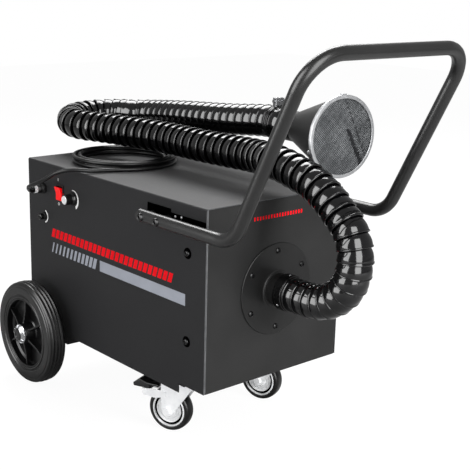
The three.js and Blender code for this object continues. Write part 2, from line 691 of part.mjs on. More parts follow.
// Rear axle, its two brackets and the push-on caps at its ends
function makeRearAxle() {
  const start = new THREE.Vector3(rearAxleX, -axleEndY + gap, axleZ);
  place('axle', rod(axle.radius, start, start.clone().setY(axleEndY - gap), mediumSides), 'zinc');
  const top = baseZ - gap;
  const foot = baseZ - axleBracket.drop;
  const { front, rear, toe, sheet, ledge } = axleBracket;
  const web = [
    [rearAxleX + front, top], [rearAxleX + toe, foot],
    [rearAxleX - toe, foot], [rearAxleX - rear, top],
  ];
  for (const { name, side } of sides) {
    const outerY = side * (bracketY + sheet);
    const innerY = side * bracketY;
    const hole = rodAlong(
      alongY, axle.hole, new THREE.Vector3(rearAxleX, innerY - side * overrun, axleZ),
      side * (sheet + 2 * overrun), mediumSides,
    );
    const bracket = join(
      plate(web, Math.min(innerY, outerY), Math.max(innerY, outerY), 'xz'),
      block(rearAxleX - rear, rearAxleX + front, outerY, innerY - side * ledge, top - sheet, top),
      block(rearAxleX - toe, rearAxleX + toe, outerY, innerY - side * ledge / 2, foot, foot + sheet),
    );
    place(`axle_bracket_${name}`, cut(bracket, hole), 'powderCoat');
    const { radius, depth, face, wall } = hubCap;
    const capProfile = [
      [0, depth - wall], [axle.radius + gap, depth - wall], [axle.radius + gap, 0],
      [radius, 0], [radius, wall], [face, depth], [0, depth],
    ];
    const capAt = new THREE.Vector3(rearAxleX, side * (hubEndY + gap), axleZ);
    const outward = new THREE.Vector3(0, side, 0);
    place(`hub_cap_${name}`, turned(capProfile, mediumSides, capAt, outward), 'chrome');
  }
}

// Rear wheel: a spoked plastic rim with a long hub, and a grooved solid tyre
function tyreOutline() {
  const { radius, tyreHalf, tyreInner, shoulder } = rearWheel;
  const bottom = radius - groove.depth;
  const outline = [
    [tyreInner, -tyreHalf], [radius - 2 * shoulder, -tyreHalf], [bottom, shoulder / 2 - tyreHalf],
  ];
  for (let i = -groove.count; i <= groove.count; i += 1) {
    outline.push([i % 2 === 0 ? bottom : radius, (i * groove.pitch) / 2]);
  }
  outline.push(
    [bottom, tyreHalf - shoulder / 2], [radius - 2 * shoulder, tyreHalf], [tyreInner, tyreHalf],
  );
  return outline;
}

function makeRearWheels() {
  const { outer, wall, half, web, spokes, fin, finDepth } = rim;
  const inner = outer - wall;
  for (const { name, side } of sides) {
    const centre = new THREE.Vector3(rearAxleX, side * rearWheelY, axleZ);
    const outward = new THREE.Vector3(0, side, 0);
    const hubStart = hubInnerY - rearWheelY;
    const hubEnd = hubStart + hub.length;
    const body = turned([
      [hub.bore, hubStart], [hub.radius, hubStart], [hub.radius, -web / 2], [inner, -web / 2],
      [inner, -half], [outer, -half], [outer, half], [inner, half], [inner, web / 2],
      [hub.radius, web / 2], [hub.taper, hubEnd], [hub.bore, hubEnd],
    ], tyreSides, centre, outward);
    const fins = [];
    for (let i = 0; i < spokes; i += 1) {
      const angle = ((i + 0.5) * 2 * Math.PI) / spokes;
      const rib = block(
        hub.taper - wall, inner + wall / 2, -finDepth / 2, finDepth / 2, -fin / 2, fin / 2,
      );
      fins.push(rib.rotateY(angle).translate(centre.x, centre.y, centre.z));
    }
    place(`rear_rim_${name}`, join(body, ...fins), 'blackPlastic');
    place(`rear_tyre_${name}`, turned(tyreOutline(), tyreSides, centre, outward), 'rubber');
  }
}

// Cross rail under the base that carries both castors
function makeRail() {
  const top = baseZ - gap;
  const foot = top - rail.height;
  const half = castorY + rail.overhang;
  const [back, front] = [castorX - rail.width / 2, castorX + rail.width / 2];
  const hollow = block(
    back + rail.wall, front - rail.wall, -half - overrun, half + overrun,
    foot + rail.wall, top - rail.wall,
  );
  place('castor_rail', cut(block(back, front, -half, half, foot, top), hollow), 'powderCoat');
}

// Castor plate with its race and kingpin, fixed to the rail
function makeCastorPlate(name, side) {
  const { thick, length, width, race, raceDepth } = castorTop;
  const centre = new THREE.Vector3(castorX, side * castorY, 0);
  const underside = plateTopZ - thick;
  const sheet = block(
    centre.x - length / 2, centre.x + length / 2, centre.y - width / 2, centre.y + width / 2,
    underside, plateTopZ,
  );
  const holes = [];
  for (const dx of [-castorHole.x, castorHole.x]) {
    for (const dy of [-castorHole.y, castorHole.y]) {
      const at = new THREE.Vector3(centre.x + dx, centre.y + dy, underside - overrun);
      holes.push(rodAlong(up, castorHole.radius, at, thick + 2 * overrun, tinySides));
    }
  }
  const headTop = crownZ - gap;
  const stem = turned([
    [0, headTop - kingpin.headHeight], [kingpin.head, headTop - kingpin.headHeight],
    [kingpin.head, headTop], [kingpin.radius, headTop], [kingpin.radius, raceZ], [race, raceZ],
    [race - raceDepth / 2, underside + thick / 2], [0, underside + thick / 2],
  ], smallSides, new THREE.Vector3(centre.x, centre.y, 0), up);
  place(`castor_plate_${name}`, join(cut(sheet, ...holes), stem), 'zinc');
}

// Swivelling fork: two tapered cheeks under a round crown, tied by a sloping web, with its axle bolt
function cheekOutline() {
  const { rearX, noseX, noseDrop, crown } = fork;
  const { radius, start, sweep, steps } = forkEye;
  const top = crownTopZ - crown / 2;
  const outline = [[rearX, top], [noseX, top], [noseX, crownTopZ - noseDrop]];
  for (let i = 0; i <= steps; i += 1) {
    const angle = THREE.MathUtils.degToRad(start - (i * sweep) / steps);
    const x = radius * Math.cos(angle) - castor.trail;
    outline.push([x, castor.wheel + radius * Math.sin(angle)]);
  }
  outline.push([rearX, crownTopZ - 2 * noseDrop]);
  return outline;
}

function makeFork(name, parent) {
  const { inner, cheek, noseX, noseDrop, web, rearX } = fork;
  const outer = inner + cheek;
  const axleX = -castor.trail;
  const outline = cheekOutline();
  const crown = rodAlong(up, castorTop.race, new THREE.Vector3(0, 0, crownZ), fork.crown, mediumSides);
  const bridge = block(rearX, noseX, -outer, outer, crownZ, crownTopZ);
  const webTop = crownTopZ - noseDrop;
  const slope = (noseX - axleX) / (webTop - castor.wheel);
  const webFoot = webTop - web / 2;
  const webOutline = [
    [noseX, crownTopZ - fork.crown / 2], [noseX, webTop], [noseX - slope * (webTop - webFoot), webFoot],
    [noseX - slope * (webTop - webFoot) - cheek, webFoot], [noseX - cheek, webTop],
    [noseX - cheek, crownTopZ - fork.crown / 2],
  ];
  const bolt = forkAxle;
  const boltStart = outer + bolt.headHeight;
  const axleAt = new THREE.Vector3(axleX, -boltStart, castor.wheel);
  const parts = [
    plate(outline, -outer, -inner, 'xz'),
    plate(outline, inner, outer, 'xz'),
    bridge,
    plate(webOutline, -outer, outer, 'xz'),
    rodAlong(alongY, bolt.radius, axleAt, 2 * boltStart, smallSides),
    rodAlong(alongY, bolt.head, axleAt, bolt.headHeight + cheek / 2, hexSides),
    rodAlong(alongY, bolt.head, axleAt.clone().setY(boltStart), -(bolt.headHeight + cheek / 2), hexSides),
  ];
  const pinHole = rodAlong(
    alongY, lever.hole, new THREE.Vector3(lever.pivotX, -outer - overrun, lever.pivotZ),
    2 * (outer + overrun), tinySides,
  );
  const swivelHole = rodAlong(
    up, kingpin.hole, new THREE.Vector3(0, 0, crownZ - overrun), fork.crown + 2 * overrun, minorSides,
  );
  place(`castor_fork_${name}`, cut(join(crown, ...parts), swivelHole, pinHole), 'zinc', parent);
}

function makeCastorWheel(name, parent) {
  const { radius, half, bore, rim: rimRadius, rimWall, web, ring } = castorHub;
  const centre = new THREE.Vector3(-castor.trail, 0, castor.wheel);
  const wide = castor.half;
  const inside = rimRadius - rimWall;
  place(`castor_wheel_${name}`, turned([
    [bore, -half], [radius, -half], [ring, -web], [inside, -wide], [rimRadius, -wide],
    [rimRadius, wide], [inside, wide], [ring, web], [radius, half], [bore, half],
  ], mediumSides, centre), 'greyPlastic', parent);
  const { bore: tyreBore, shoulder } = castorTyre;
  place(`castor_tyre_${name}`, turned([
    [tyreBore, -wide], [castor.wheel - shoulder, -wide], [castor.wheel, shoulder - wide],
    [castor.wheel, wide - shoulder], [castor.wheel - shoulder, wide], [tyreBore, wide],
  ], mediumSides, centre), 'rubber', parent);
}

// Brake: a zinc lever that straddles the fork on two short pins, under a black pedal
function makeBrake(name, parent) {
  const { sheet, inner, pin, pivotX, pivotZ, bridge } = lever;
  const outer = inner + sheet;
  const cheekShares = [
    [0.08, 0.08], [0.06, -0.06], [-0.2, -0.12], [-0.5, -0.1], [-0.52, 0.05], [-0.2, 0.08],
  ];
  const reach = 2 * castor.wheel;
  const cheek = cheekShares.map(([u, v]) => [pivotX + u * reach, pivotZ + v * reach]);
  const bridgeBack = pivotX - reach / 2;
  const bridgeFront = bridgeBack + reach / 7;
  const pinLength = inner + sheet / 2 - fork.inner;
  const parts = [
    plate(cheek, -outer, -inner, 'xz'),
    plate(cheek, inner, outer, 'xz'),
    block(bridgeBack, bridgeFront, -outer, outer, pivotZ + bridge / 2, pivotZ + 3 * bridge / 2),
    rodAlong(alongY, pin, new THREE.Vector3(pivotX, -fork.inner, pivotZ), -pinLength, tinySides),
    rodAlong(alongY, pin, new THREE.Vector3(pivotX, fork.inner, pivotZ), pinLength, tinySides),
  ];
  place(`brake_lever_${name}`, join(...parts), 'zinc', parent);
  const sole = pivotZ + 3 * bridge / 2 + gap;
  const padShares = [
    [-0.12, 0.076], [-0.35, 0.076], [-0.35, 0], [-0.75, 0], [-0.77, 0.07], [-0.6, 0.19],
    [-0.42, 0.13], [-0.12, 0.13],
  ];
  const padOutline = padShares.map(([u, v]) => [pivotX + u * reach, sole + v * reach]);
  place(`brake_pedal_${name}`, plate(padOutline, -pad.half, pad.half, 'xz'), 'blackPlastic', parent);
}

function makeCastors() {
  for (const { name, side } of sides) {
    makeCastorPlate(name, side);
    const swivel = new THREE.Group();
    swivel.position.set(castorX, side * castorY, 0);
    swivel.rotation.z = castorSwivel[name];
    machine.add(swivel);
    makeFork(name, swivel);
    makeCastorWheel(name, swivel);
    makeBrake(name, swivel);
  }
}

// Push handle: an open-ended tube, bent in one piece
function makeHandle() {
  const half = handleY;
  const corners = pointsOf([
    [handleEndX, -half, handleZ], [kneeX, -half, handleZ], [crossbarX, -half, crossbarZ],
    [crossbarX, half, crossbarZ], [kneeX, half, handleZ], [handleEndX, half, handleZ],
  ]);
  const { knee, corner, steps, sides: tubeSides } = handleBend;
  const frames = framesAlong(bentPath(corners, [knee, corner, corner, knee], steps));
  const outer = frames.map((frame) => ringAt(frame, handle.tube, tubeSides));
  const pulled = (frame, reach) => (
    { ...frame, at: frame.at.clone().addScaledVector(frame.tangent, reach) }
  );
  const end = frames.length - 1;
  const longer = [...frames];
  longer[0] = pulled(frames[0], -overrun);
  longer[end] = pulled(frames[end], overrun);
  const inner = longer.map((frame) => ringAt(frame, handle.bore, hexSides));
  const holes = [];
  for (const { side } of sides) {
    for (const x of handleBoltXs) {
      const at = new THREE.Vector3(x, side * (handleY - handle.tube - overrun), handleZ);
      holes.push(rodAlong(alongY, handleBolt.hole, at, side * 2 * (handle.tube + overrun), tinySides));
    }
  }
  place('handle_tube', cut(loft(outer), loft(inner), ...holes), 'tubeCoat');
}

function makeHandleFixings() {
  let count = 0;
  for (const { name, side } of sides) {
    const outward = new THREE.Vector3(0, side, 0);
    for (const x of handleBoltXs) {
      count += 1;
      const nutStart = side * (halfWidth - cabinet.sheet - gap);
      const headFoot = side * (handleY + handle.tube + gap);
      const nutAt = new THREE.Vector3(x, nutStart, handleZ);
      const shankFoot = nutAt.clone().setY(nutStart - side * handleNut.height);
      const grip = Math.abs(headFoot - nutStart) + handleNut.height + handleBolt.headHeight / 2;
      const bolt = join(
        rodAlong(outward, handleBolt.shank, shankFoot, grip, tinySides),
        rodAlong(outward, handleNut.radius, nutAt, -handleNut.height, hexSides),
        turned([
          [0, 0], [handleBolt.head, 0], [handleBolt.head, handleBolt.headHeight / 2],
          [handleBolt.shank, handleBolt.headHeight], [0, handleBolt.headHeight],
        ], smallSides, nutAt.clone().setY(headFoot), outward),
      );
      place(`handle_bolt_${count}`, bolt, 'blackPlastic');
      const seat = new THREE.Vector3(x, side * (halfWidth + gap), handleZ);
      const barrel = turned([
        [spacer.bore, 0], [spacer.radius, 0], [spacer.radius, handle.standoff],
        [spacer.bore, handle.standoff],
      ], smallSides, seat, outward);
      const tubeRoom = rodAlong(
        alongX, spacer.saddle, new THREE.Vector3(x - 2 * spacer.radius, side * handleY, handleZ),
        4 * spacer.radius, mediumSides,
      );
      const far = side * (handleY + handle.tube + overrun);
      const beyond = block(
        x - 2 * spacer.radius, x + 2 * spacer.radius, side * (handleY - handle.tube / 2), far,
        handleZ - 2 * spacer.radius, handleZ + 2 * spacer.radius,
      );
      place(`handle_spacer_${count}`, cut(barrel, tubeRoom, beyond), 'blackPlastic');
    }
    const mouth = new THREE.Vector3(handleEndX - gap, side * handleY, handleZ);
    const stem = handle.bore - endPlug.squeeze - gap;
    place(`handle_plug_${name}`, turned([
      [0, -endPlug.depth], [stem, -endPlug.depth], [stem, 0], [handle.tube, 0],
      [handle.tube - endPlug.flange / 2, endPlug.flange], [0, endPlug.flange],
    ], smallSides, mouth, alongX.clone().negate()), 'blackPlastic');
  }
}

// Inlet flange with its neck, collar and six screws
function makeInletFlange() {
  const at = new THREE.Vector3(flangeX, 0, inletZ);
  const { disc, thick, neck, bore, inside } = inlet;
  const reach = neckEndX - flangeX;
  const body = turned([
    [bore, -inside], [neck, -inside], [neck, 0], [disc, 0], [disc, thick],
    [inletCollar.radius, thick], [inletCollar.radius, thick + inletCollar.thick],
    [neck, thick + inletCollar.thick], [neck, reach], [bore, reach],
  ], roundSides, at, alongX);
  const screws = [];
  const backOfPanel = halfLength - cabinet.sheet - inletScrew.headHeight;
  for (const [y, z] of inletScrewPlaces()) {
    const tip = new THREE.Vector3(backOfPanel, y, z);
    screws.push(rodAlong(alongX, inletScrew.shank, tip, flangeX + thick / 2 - backOfPanel, tinySides));
    const headFoot = new THREE.Vector3(flangeX + thick / 2, y, z);
    const headReach = thick / 2 + inletScrew.headHeight;
    screws.push(rodAlong(alongX, inletScrew.head, headFoot, headReach, tinySides));
  }
  place('inlet_flange', join(body, ...screws), 'powderCoat');
}

// Cuff: a sleeve over the neck with a nipple that holds the hose's bore
function makeCuff() {
  const at = new THREE.Vector3(cuffShoulderX - cuff.length, 0, inletZ);
  const sleeve = inlet.neck + gap;
  place('hose_cuff', turned([
    [sleeve, 0], [cuff.radius, 0], [cuff.radius, cuff.length], [cuff.nipple, cuff.length],
    [cuff.nipple, cuff.length + cuff.nippleLength], [cuff.nippleBore, cuff.length + cuff.nippleLength],
    [cuff.nippleBore, cuff.cover], [sleeve, cuff.cover],
  ], roundSides, at, alongX), 'blackPlastic');
}

// Centre line of the hose: the front run, a level U-bend that climbs, and the back run
function hoseCurve() {
  const { x, y, z, radius, heading, rise, step } = hoseBend;
  const start = THREE.MathUtils.degToRad(heading);
  const bend = [[x, y, z]];
  const count = Math.round(heading / step);
  for (let i = 1; i <= count; i += 1) {
    const turn = start * (1 - i / count);
    bend.push([
      x + radius * (Math.sin(start) - Math.sin(turn)),
      y + radius * (Math.cos(turn) - Math.cos(start)),
      z + (rise * i) / count,
    ]);
  }
  const end = hoodNeck.clone().addScaledVector(hoodAxis, -gap);
  const last = [end.x, end.y, end.z];
  const route = pointsOf([...hoseFront, ...bend, ...hoseBack, last]);
  return new THREE.CatmullRomCurve3(route, false, 'centripetal');
}

// Hose: shingled segments, each flaring to a lip over the next, round a plain bore
function makeHose() {
  const curve = hoseCurve();
  const length = curve.getLength();
  const ribs = Math.round(length / hose.pitch);
  const stations = [];
  for (let i = 0; i < ribs; i += 1) {
    stations.push({ share: i / ribs, radius: hose.valley, rib: i });
    stations.push({ share: (i + hose.lipShare) / ribs, radius: hose.radius });
  }
  stations.push({ share: 1, radius: hose.valley, rib: ribs });
  const frames = framesAlong(stations.map(({ share }) => curve.getPointAt(share)));
  const outer = frames.map((frame, i) => ringAt(frame, stations[i].radius, hose.sides));
  const inner = [];
  let lastBore = null;
  frames.forEach((frame, i) => {
    const { rib } = stations[i];
    if (rib === undefined) {
      return;
    }
    const due = lastBore === null || rib - lastBore.rib >= boreSpan.ribs || rib === ribs;
    if (due || lastBore.tangent.angleTo(frame.tangent) > boreSpan.turn) {
      inner.push(ringAt(frame, hose.bore, hose.sides));
      lastBore = { tangent: frame.tangent, rib };
    }
  });
  place('hose', loft([...outer, ...inner.reverse()], true), 'glossPlastic');
  console.log(`hose ${length.toFixed(1)} mm long with ${ribs} segments`);
}

// Hood: a neck that plugs into the hose, a cone, a rolled rim and a wire mesh over its mouth
function makeHood() {
  const { neck, neckLength, mouth, length } = cone;
  const { wall } = hood;
  const { radius: nipple, bore, length: reach } = hoodNipple;
  place('hood', turned([
    [nipple, -reach], [nipple, 0], [neck, 0], [neck, neckLength], [mouth, length],
    [mouth - wall, length], [neck - wall, neckLength], [bore, neckLength - reach / 2], [bore, -reach],
  ], roundSides, hoodNeck, hoodAxis), 'powderCoat');

  const meshBack = length + gap;
  const meshFront = meshBack + hoodMesh.thick;
  const { radius, wall: rimWall, back, lip, lipWall } = hoodRim;
  const inside = mouth + gap;
  const lipBack = meshFront + gap;
  place('hood_rim', turned([
    [inside, length - back], [radius, length - back], [radius, lipBack + lipWall],
    [radius - lip, lipBack + lipWall], [radius - lip, lipBack], [radius - rimWall, lipBack],
    [radius - rimWall, length], [inside, length],
  ], roundSides, hoodNeck, hoodAxis), 'aluminium');
  makeHoodMesh(meshBack, meshFront);
}

function makeHoodMesh(back, front) {
  const { radius, cell, bar, border } = hoodMesh;
  const disc = turned([[0, back], [radius, back], [radius, front], [0, front]], roundSides, undefined, up);
  const reach = Math.floor(radius / cell);
  const half = (cell - bar) / 2;
  const holes = [];
  for (let i = -reach; i <= reach; i += 1) {
    for (let j = -reach; j <= reach; j += 1) {
      const [u, v] = [i * cell, j * cell];
      const farthest = Math.hypot(Math.abs(u) + half, Math.abs(v) + half);
      if (farthest < radius - border) {
        holes.push(block(u - half, u + half, v - half, v + half, back - overrun, front + overrun));
      }
    }
  }
  const turn = new THREE.Quaternion().setFromUnitVectors(up, hoodAxis);
  const net = cut(disc, ...holes).rotateZ(quarter / 2).applyQuaternion(turn);
  place('hood_mesh', net.translate(hoodNeck.x, hoodNeck.y, hoodNeck.z), 'wire');
  console.log(`hood mesh with ${holes.length} gaps`);
}

// Band clamp round the hood's neck, its ends turned up under a screw
function makeHoseClamp() {
  const { wall, width, setback, lug, lugThick, lugWidth } = hoseClamp;
  const inner = cone.neck + 2 * gap;
  const outer = inner + wall;
  const band = turned([
    [inner, setback], [outer, setback], [outer, setback + width], [inner, setback + width],
  ], roundSides);
  const middle = setback + width / 2;
  const ears = [-1, 1].map((hand) => block(
    hand * lugThick / 2, hand * lugThick * 3 / 2, middle - lugWidth / 2, middle + lugWidth / 2,
    inner + wall / 2, outer + lug,
  ));
  const screw = rodAlong(
    alongX, lugThick / 2, new THREE.Vector3(-3 * lugThick, middle, outer + lug / 2),
    6 * lugThick, tinySides,
  );
  const turn = new THREE.Matrix4().makeBasis(
    new THREE.Vector3().crossVectors(hoodAxis, up), hoodAxis, up,
  );
  const clamp = join(band, ...ears, screw).applyMatrix4(turn);
  place('hose_clamp', clamp.translate(hoodNeck.x, hoodNeck.y, hoodNeck.z), 'chrome');
}

// Rocker switch: a bezel with a deep pocket, and a rocker tipped to its off side on two stub pins
function makeRockerSwitch() {
  const { width, height, flange, wall, depth, clearance } = bezel;
  const face = -halfWidth - gap;
  const centreZ = roofZ - rocker.drop;
  const [bodyX, bodyZ] = [width / 2 - wall, height / 2 - wall];
  const [roomX, roomZ] = [rocker.width / 2 + clearance, rocker.height / 2 + clearance];
  const back = face + flange + depth;
  const pivotY = face - gap;
  const frame = join(
    block(
      rockerX - width / 2, rockerX + width / 2, face - flange, face,
      centreZ - height / 2, centreZ + height / 2,
    ),
    block(rockerX - bodyX, rockerX + bodyX, face - flange, back, centreZ - bodyZ, centreZ + bodyZ),
  );
  const room = block(
    rockerX - roomX, rockerX + roomX, face - flange - overrun, back - wall,
    centreZ - roomZ, centreZ + roomZ,
  );
  const pinReach = rocker.width / 2 + clearance + wall / 2;
  const pinHole = rodAlong(
    alongX, rocker.pivotHole, new THREE.Vector3(rockerX - bodyX - overrun, pivotY, centreZ),
    2 * (bodyX + overrun), tinySides,
  );
  place('rocker_bezel', cut(frame, room, pinHole), 'blackPlastic');

  const swing = new THREE.Group();
  swing.position.set(rockerX, pivotY, centreZ);
  swing.rotation.x = rocker.tilt;
  machine.add(swing);
  const { back: tail, shoulder, crest, valley } = rockerFace;
  const tall = rocker.height / 2;
  const outline = [
    [tail, -tall / 2], [-shoulder, -tall], [-crest, -tall], [-valley, 0], [-crest, tall],
    [-shoulder, tall], [tail, tall / 2],
  ];
  const body = plate(outline, -rocker.width / 2, rocker.width / 2, 'yz');
  const pins = rodAlong(alongX, rocker.pivot, new THREE.Vector3(-pinReach, 0, 0), 2 * pinReach, tinySides);
  place('rocker', join(body, pins), 'red', swing);
}

// Speed knob with a fluted grip, on the control behind the panel
function makeSpeedKnob() {
  const outward = alongY.clone().negate();
  const centreZ = roofZ - knob.drop;
  const at = new THREE.Vector3(knobX, -halfWidth - gap, centreZ);
  const base = turned([
    [0, 0], [knob.skirt, 0], [knob.grip, knob.skirtHeight], [0, knob.skirtHeight],
  ], mediumSides, at, outward);
  const fluted = [];
  for (let i = 0; i < 2 * knob.flutes; i += 1) {
    const angle = (i * Math.PI) / knob.flutes;
    const radius = i % 2 === 0 ? knob.grip : knob.top;
    fluted.push([knobX + radius * Math.cos(angle), centreZ + radius * Math.sin(angle)]);
  }
  const grip = plate(fluted, at.y - knob.height, at.y - knob.skirtHeight / 2, 'xz');
  const stemFoot = at.clone().setY(at.y + knobShaft.depth);
  const stemReach = knobShaft.depth + knob.skirtHeight / 2;
  const stem = rodAlong(outward, knobShaft.radius, stemFoot, stemReach, smallSides);
  place('speed_knob', join(base, grip, stem), 'blackPlastic');
  const { side, depth } = speedControl;
  const face = gap + cabinet.sheet - halfWidth;
  const box = block(
    knobX - side / 2, knobX + side / 2, face, face + depth, centreZ - side / 2, centreZ + side / 2,
  );
  const boreAt = at.clone().setY(face - overrun);
  const bore = rodAlong(alongY, knobShaft.hole, boreAt, depth + 2 * overrun, smallSides);
  place('speed_control', cut(box, bore), 'blackPlastic');
}

// Fuse holder with its slotted cap
function makeFuse() {
  const outward = alongY.clone().negate();
  const at = new THREE.Vector3(fuseX, -halfWidth - gap, roofZ - fuse.drop);
  const { body, bore, depth, wall } = fuse;
  const { radius: ring, height: ringHeight } = fuseRing;
  place('fuse_holder', turned([
    [0, -depth], [body, -depth], [body, 0], [ring, 0], [ring, ringHeight], [bore, ringHeight],
    [bore, wall - depth], [0, wall - depth],
  ], minorSides, at, outward), 'blackPlastic');
  const foot = ringHeight + gap;
  const top = foot + fuseCap.height;
  const cap = turned([
    [0, -fuseCap.stemDepth], [fuseCap.stem, -fuseCap.stemDepth], [fuseCap.stem, foot],
    [fuseCap.radius, foot], [fuseCap.radius, top - fuseCap.slotDepth],
    [fuseCap.radius - fuseCap.slotDepth, top], [0, top],
  ], minorSides, at, outward);
  const slotY = at.y - top;
  const slot = block(
    fuseX - fuseCap.radius, fuseX + fuseCap.radius, slotY - overrun, slotY + fuseCap.slotDepth,
    at.z - fuseCap.slot / 2, at.z + fuseCap.slot / 2,
  );
  place('fuse_cap', cut(cap, slot), 'blackPlastic');
}

// Cable gland: threaded through the side, a hexagon and a domed nut outside, a nut inside
function makeGland() {
  const outward = alongY.clone().negate();
  const at = new THREE.Vector3(glandX, -halfWidth - gap, roofZ - gland.drop);
  const { thread, hex, hexHeight } = gland;
  const { radius: dome, tip, reach, nut } = glandDome;
  const inside = cabinet.sheet + 2 * gap;
  const bodyTop = reach - gap;
  const body = turned([
    [0, -inside - nut], [thread, -inside - nut], [thread, 0], [dome, 0], [dome, hexHeight + nut / 2],
    [tip + gap, bodyTop - nut], [tip, bodyTop], [0, bodyTop],
  ], smallSides, at, outward);
  const outerHex = rodAlong(outward, hex, at, hexHeight, hexSides);
  const innerHex = rodAlong(alongY, hex, at.clone().setY(at.y + inside), nut, hexSides);
  place('cable_gland', join(body, outerHex, innerHex), 'chrome');
}

// Coil: one unbroken line that spirals in on the roof, climbs, and spirals out on top of itself
function coilPath() {
  const { x, y, outer, pitch, rise, start } = coil;
  const { lower, climb, upper, steps } = coilTurns;
  const floor = roofZ + gap + cord.radius;
  const inner = outer - pitch * lower;
  const total = Math.round((lower + climb + upper) * steps);
  const path = [];
  for (let i = 0; i <= total; i += 1) {
    const turn = i / steps;
    const rising = THREE.MathUtils.clamp((turn - lower) / climb, 0, 1);
    const outward = pitch * Math.max(0, turn - lower - climb);
    const radius = turn < lower ? outer - pitch * turn : inner + outward;
    const angle = THREE.MathUtils.degToRad(start) + turn * 2 * Math.PI;
    const height = floor + rise * (1 - Math.cos(Math.PI * rising)) / 2;
    path.push(new THREE.Vector3(x + radius * Math.cos(angle), y + radius * Math.sin(angle), height));
  }
  const pulled = (end, before) => (
    end.clone().addScaledVector(end.clone().sub(before).normalize(), 2 * cord.radius)
  );
  return [pulled(path[0], path[1]), ...path, pulled(path[total], path[total - 1])];
}

// Least distance between the skins of two stretches of the coil at least a third of a turn apart
function coilClearance(path) {
  const apart = Math.round(coilTurns.steps / 3);
  let least = Infinity;
  for (let i = 0; i < path.length - 1; i += 1) {
    for (let j = i + apart; j < path.length - 1; j += 1) {
      const stretch = new THREE.Line3(path[j], path[j + 1]);
      const nearest = stretch.closestPointToPoint(path[i], true, new THREE.Vector3());
      least = Math.min(least, nearest.distanceTo(path[i]));
    }
  }
  return least - 2 * cord.radius;
}

function cordSection() {
  const section = [];
  for (let i = 0; i < cord.sides; i += 1) {
    const angle = (i * 2 * Math.PI) / cord.sides;
    section.push([cord.radius * Math.cos(angle), cord.radius * Math.sin(angle)]);
  }
  return shapeOf(section);
}

function freeCord(name, points, steps) {
  const curve = new THREE.CatmullRomCurve3(points, false, 'centripetal');
  place(name, new THREE.ExtrudeGeometry(cordSection(), { steps, extrudePath: curve }), 'rubber');
  return curve.getLength();
}

function makeMainsLead() {
  const path = coilPath();
  const frames = framesAlong(path);
  place('cord_coil', loft(frames.map((frame) => ringAt(frame, cord.radius, coilTurns.sides))), 'rubber');
  const last = path.length - 1;
  const into = path[1].clone().sub(path[0]).normalize();
  const out = path[last].clone().sub(path[last - 1]).normalize();
  const leadEnd = path[0].clone().addScaledVector(into, -gap);
  const leadLast = leadEnd.clone().addScaledVector(into, -2 * cord.radius);
  const tailStart = path[last].clone().addScaledVector(out, gap);
  const tailFirst = tailStart.clone().addScaledVector(out, 2 * cord.radius);
  const leadPoints = [...pointsOf(leadRoute), leadLast, leadEnd];
  const tailPoints = [tailStart, tailFirst, ...pointsOf(tailRoute)];
  const leadLength = freeCord('cord_lead', leadPoints, cord.leadSteps);
  const tailLength = freeCord('cord_tail', tailPoints, cord.tailSteps);
  let coilLength = 0;
  for (let i = 1; i < path.length; i += 1) {
    coilLength += path[i].distanceTo(path[i - 1]);
  }
  const whole = leadLength + coilLength + tailLength;
  console.log(`mains lead ${whole.toFixed(0)} mm long`);
  console.log(`coil's least gap ${coilClearance(path).toFixed(2)} mm`);
}

// Plug lying on its back behind the hose, pins up
function makePlug() {
  const [endX, endY, endZ] = tailRoute[tailRoute.length - 1];
  const { length, width, height, corner, entry, entryLength, taper } = plug;
  const front = endX - gap - entryLength;
  const back = front - length;
  const half = width / 2;
  const floor = roofZ + gap;
  const outline = [
    [front, endY - half + taper], [front, endY + half - taper], [front - corner, endY + half],
    [back + corner, endY + half], [back, endY + half - corner], [back, endY - half + corner],
    [back + corner, endY - half], [front - corner, endY - half],
  ];
  const collar = rod(
    entry, new THREE.Vector3(endX - gap, endY, endZ),
    new THREE.Vector3(front - corner, endY, endZ), smallSides,
  );
  const top = floor + height;
  const { length: pinLength, width: pinWidth, thick, spread, back: pinBack } = plugPin;
  const { earthLength, earthWidth } = plugPin;
  const pinX = back + length / 2 + pinBack;
  const pins = [-spread, spread].map((dy) => block(
    pinX - thick / 2, pinX + thick / 2, endY + dy - pinWidth / 2, endY + dy + pinWidth / 2,
    top - thick, top + pinLength,
  ));
  const earthX = back + corner + thick;
  const earth = block(
    earthX - earthWidth / 2, earthX + earthWidth / 2, endY - thick / 2, endY + thick / 2,
    top - thick, top + earthLength,
  );
  place('plug', join(plate(outline, floor, top, 'xy'), collar, ...pins, earth), 'blackPlastic');
}

makeCover();
makeTray();
makeFrontPanel();
makeRearPanel();
makePartition();
makeFilter();
makeHousing();
makeImpeller(machine);
makeMotor();
makeRearAxle();
makeRearWheels();
makeRail();
makeCastors();
makeHandle();
makeHandleFixings();
makeInletFlange();
makeCuff();
makeHose();
makeHood();
makeHoseClamp();
makeRockerSwitch();
makeSpeedKnob();
makeFuse();
makeGland();
makeMainsLead();
makePlug();

export default fumeExtractor;
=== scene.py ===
import json
import math
import bpy
from mathutils import Matrix, Vector

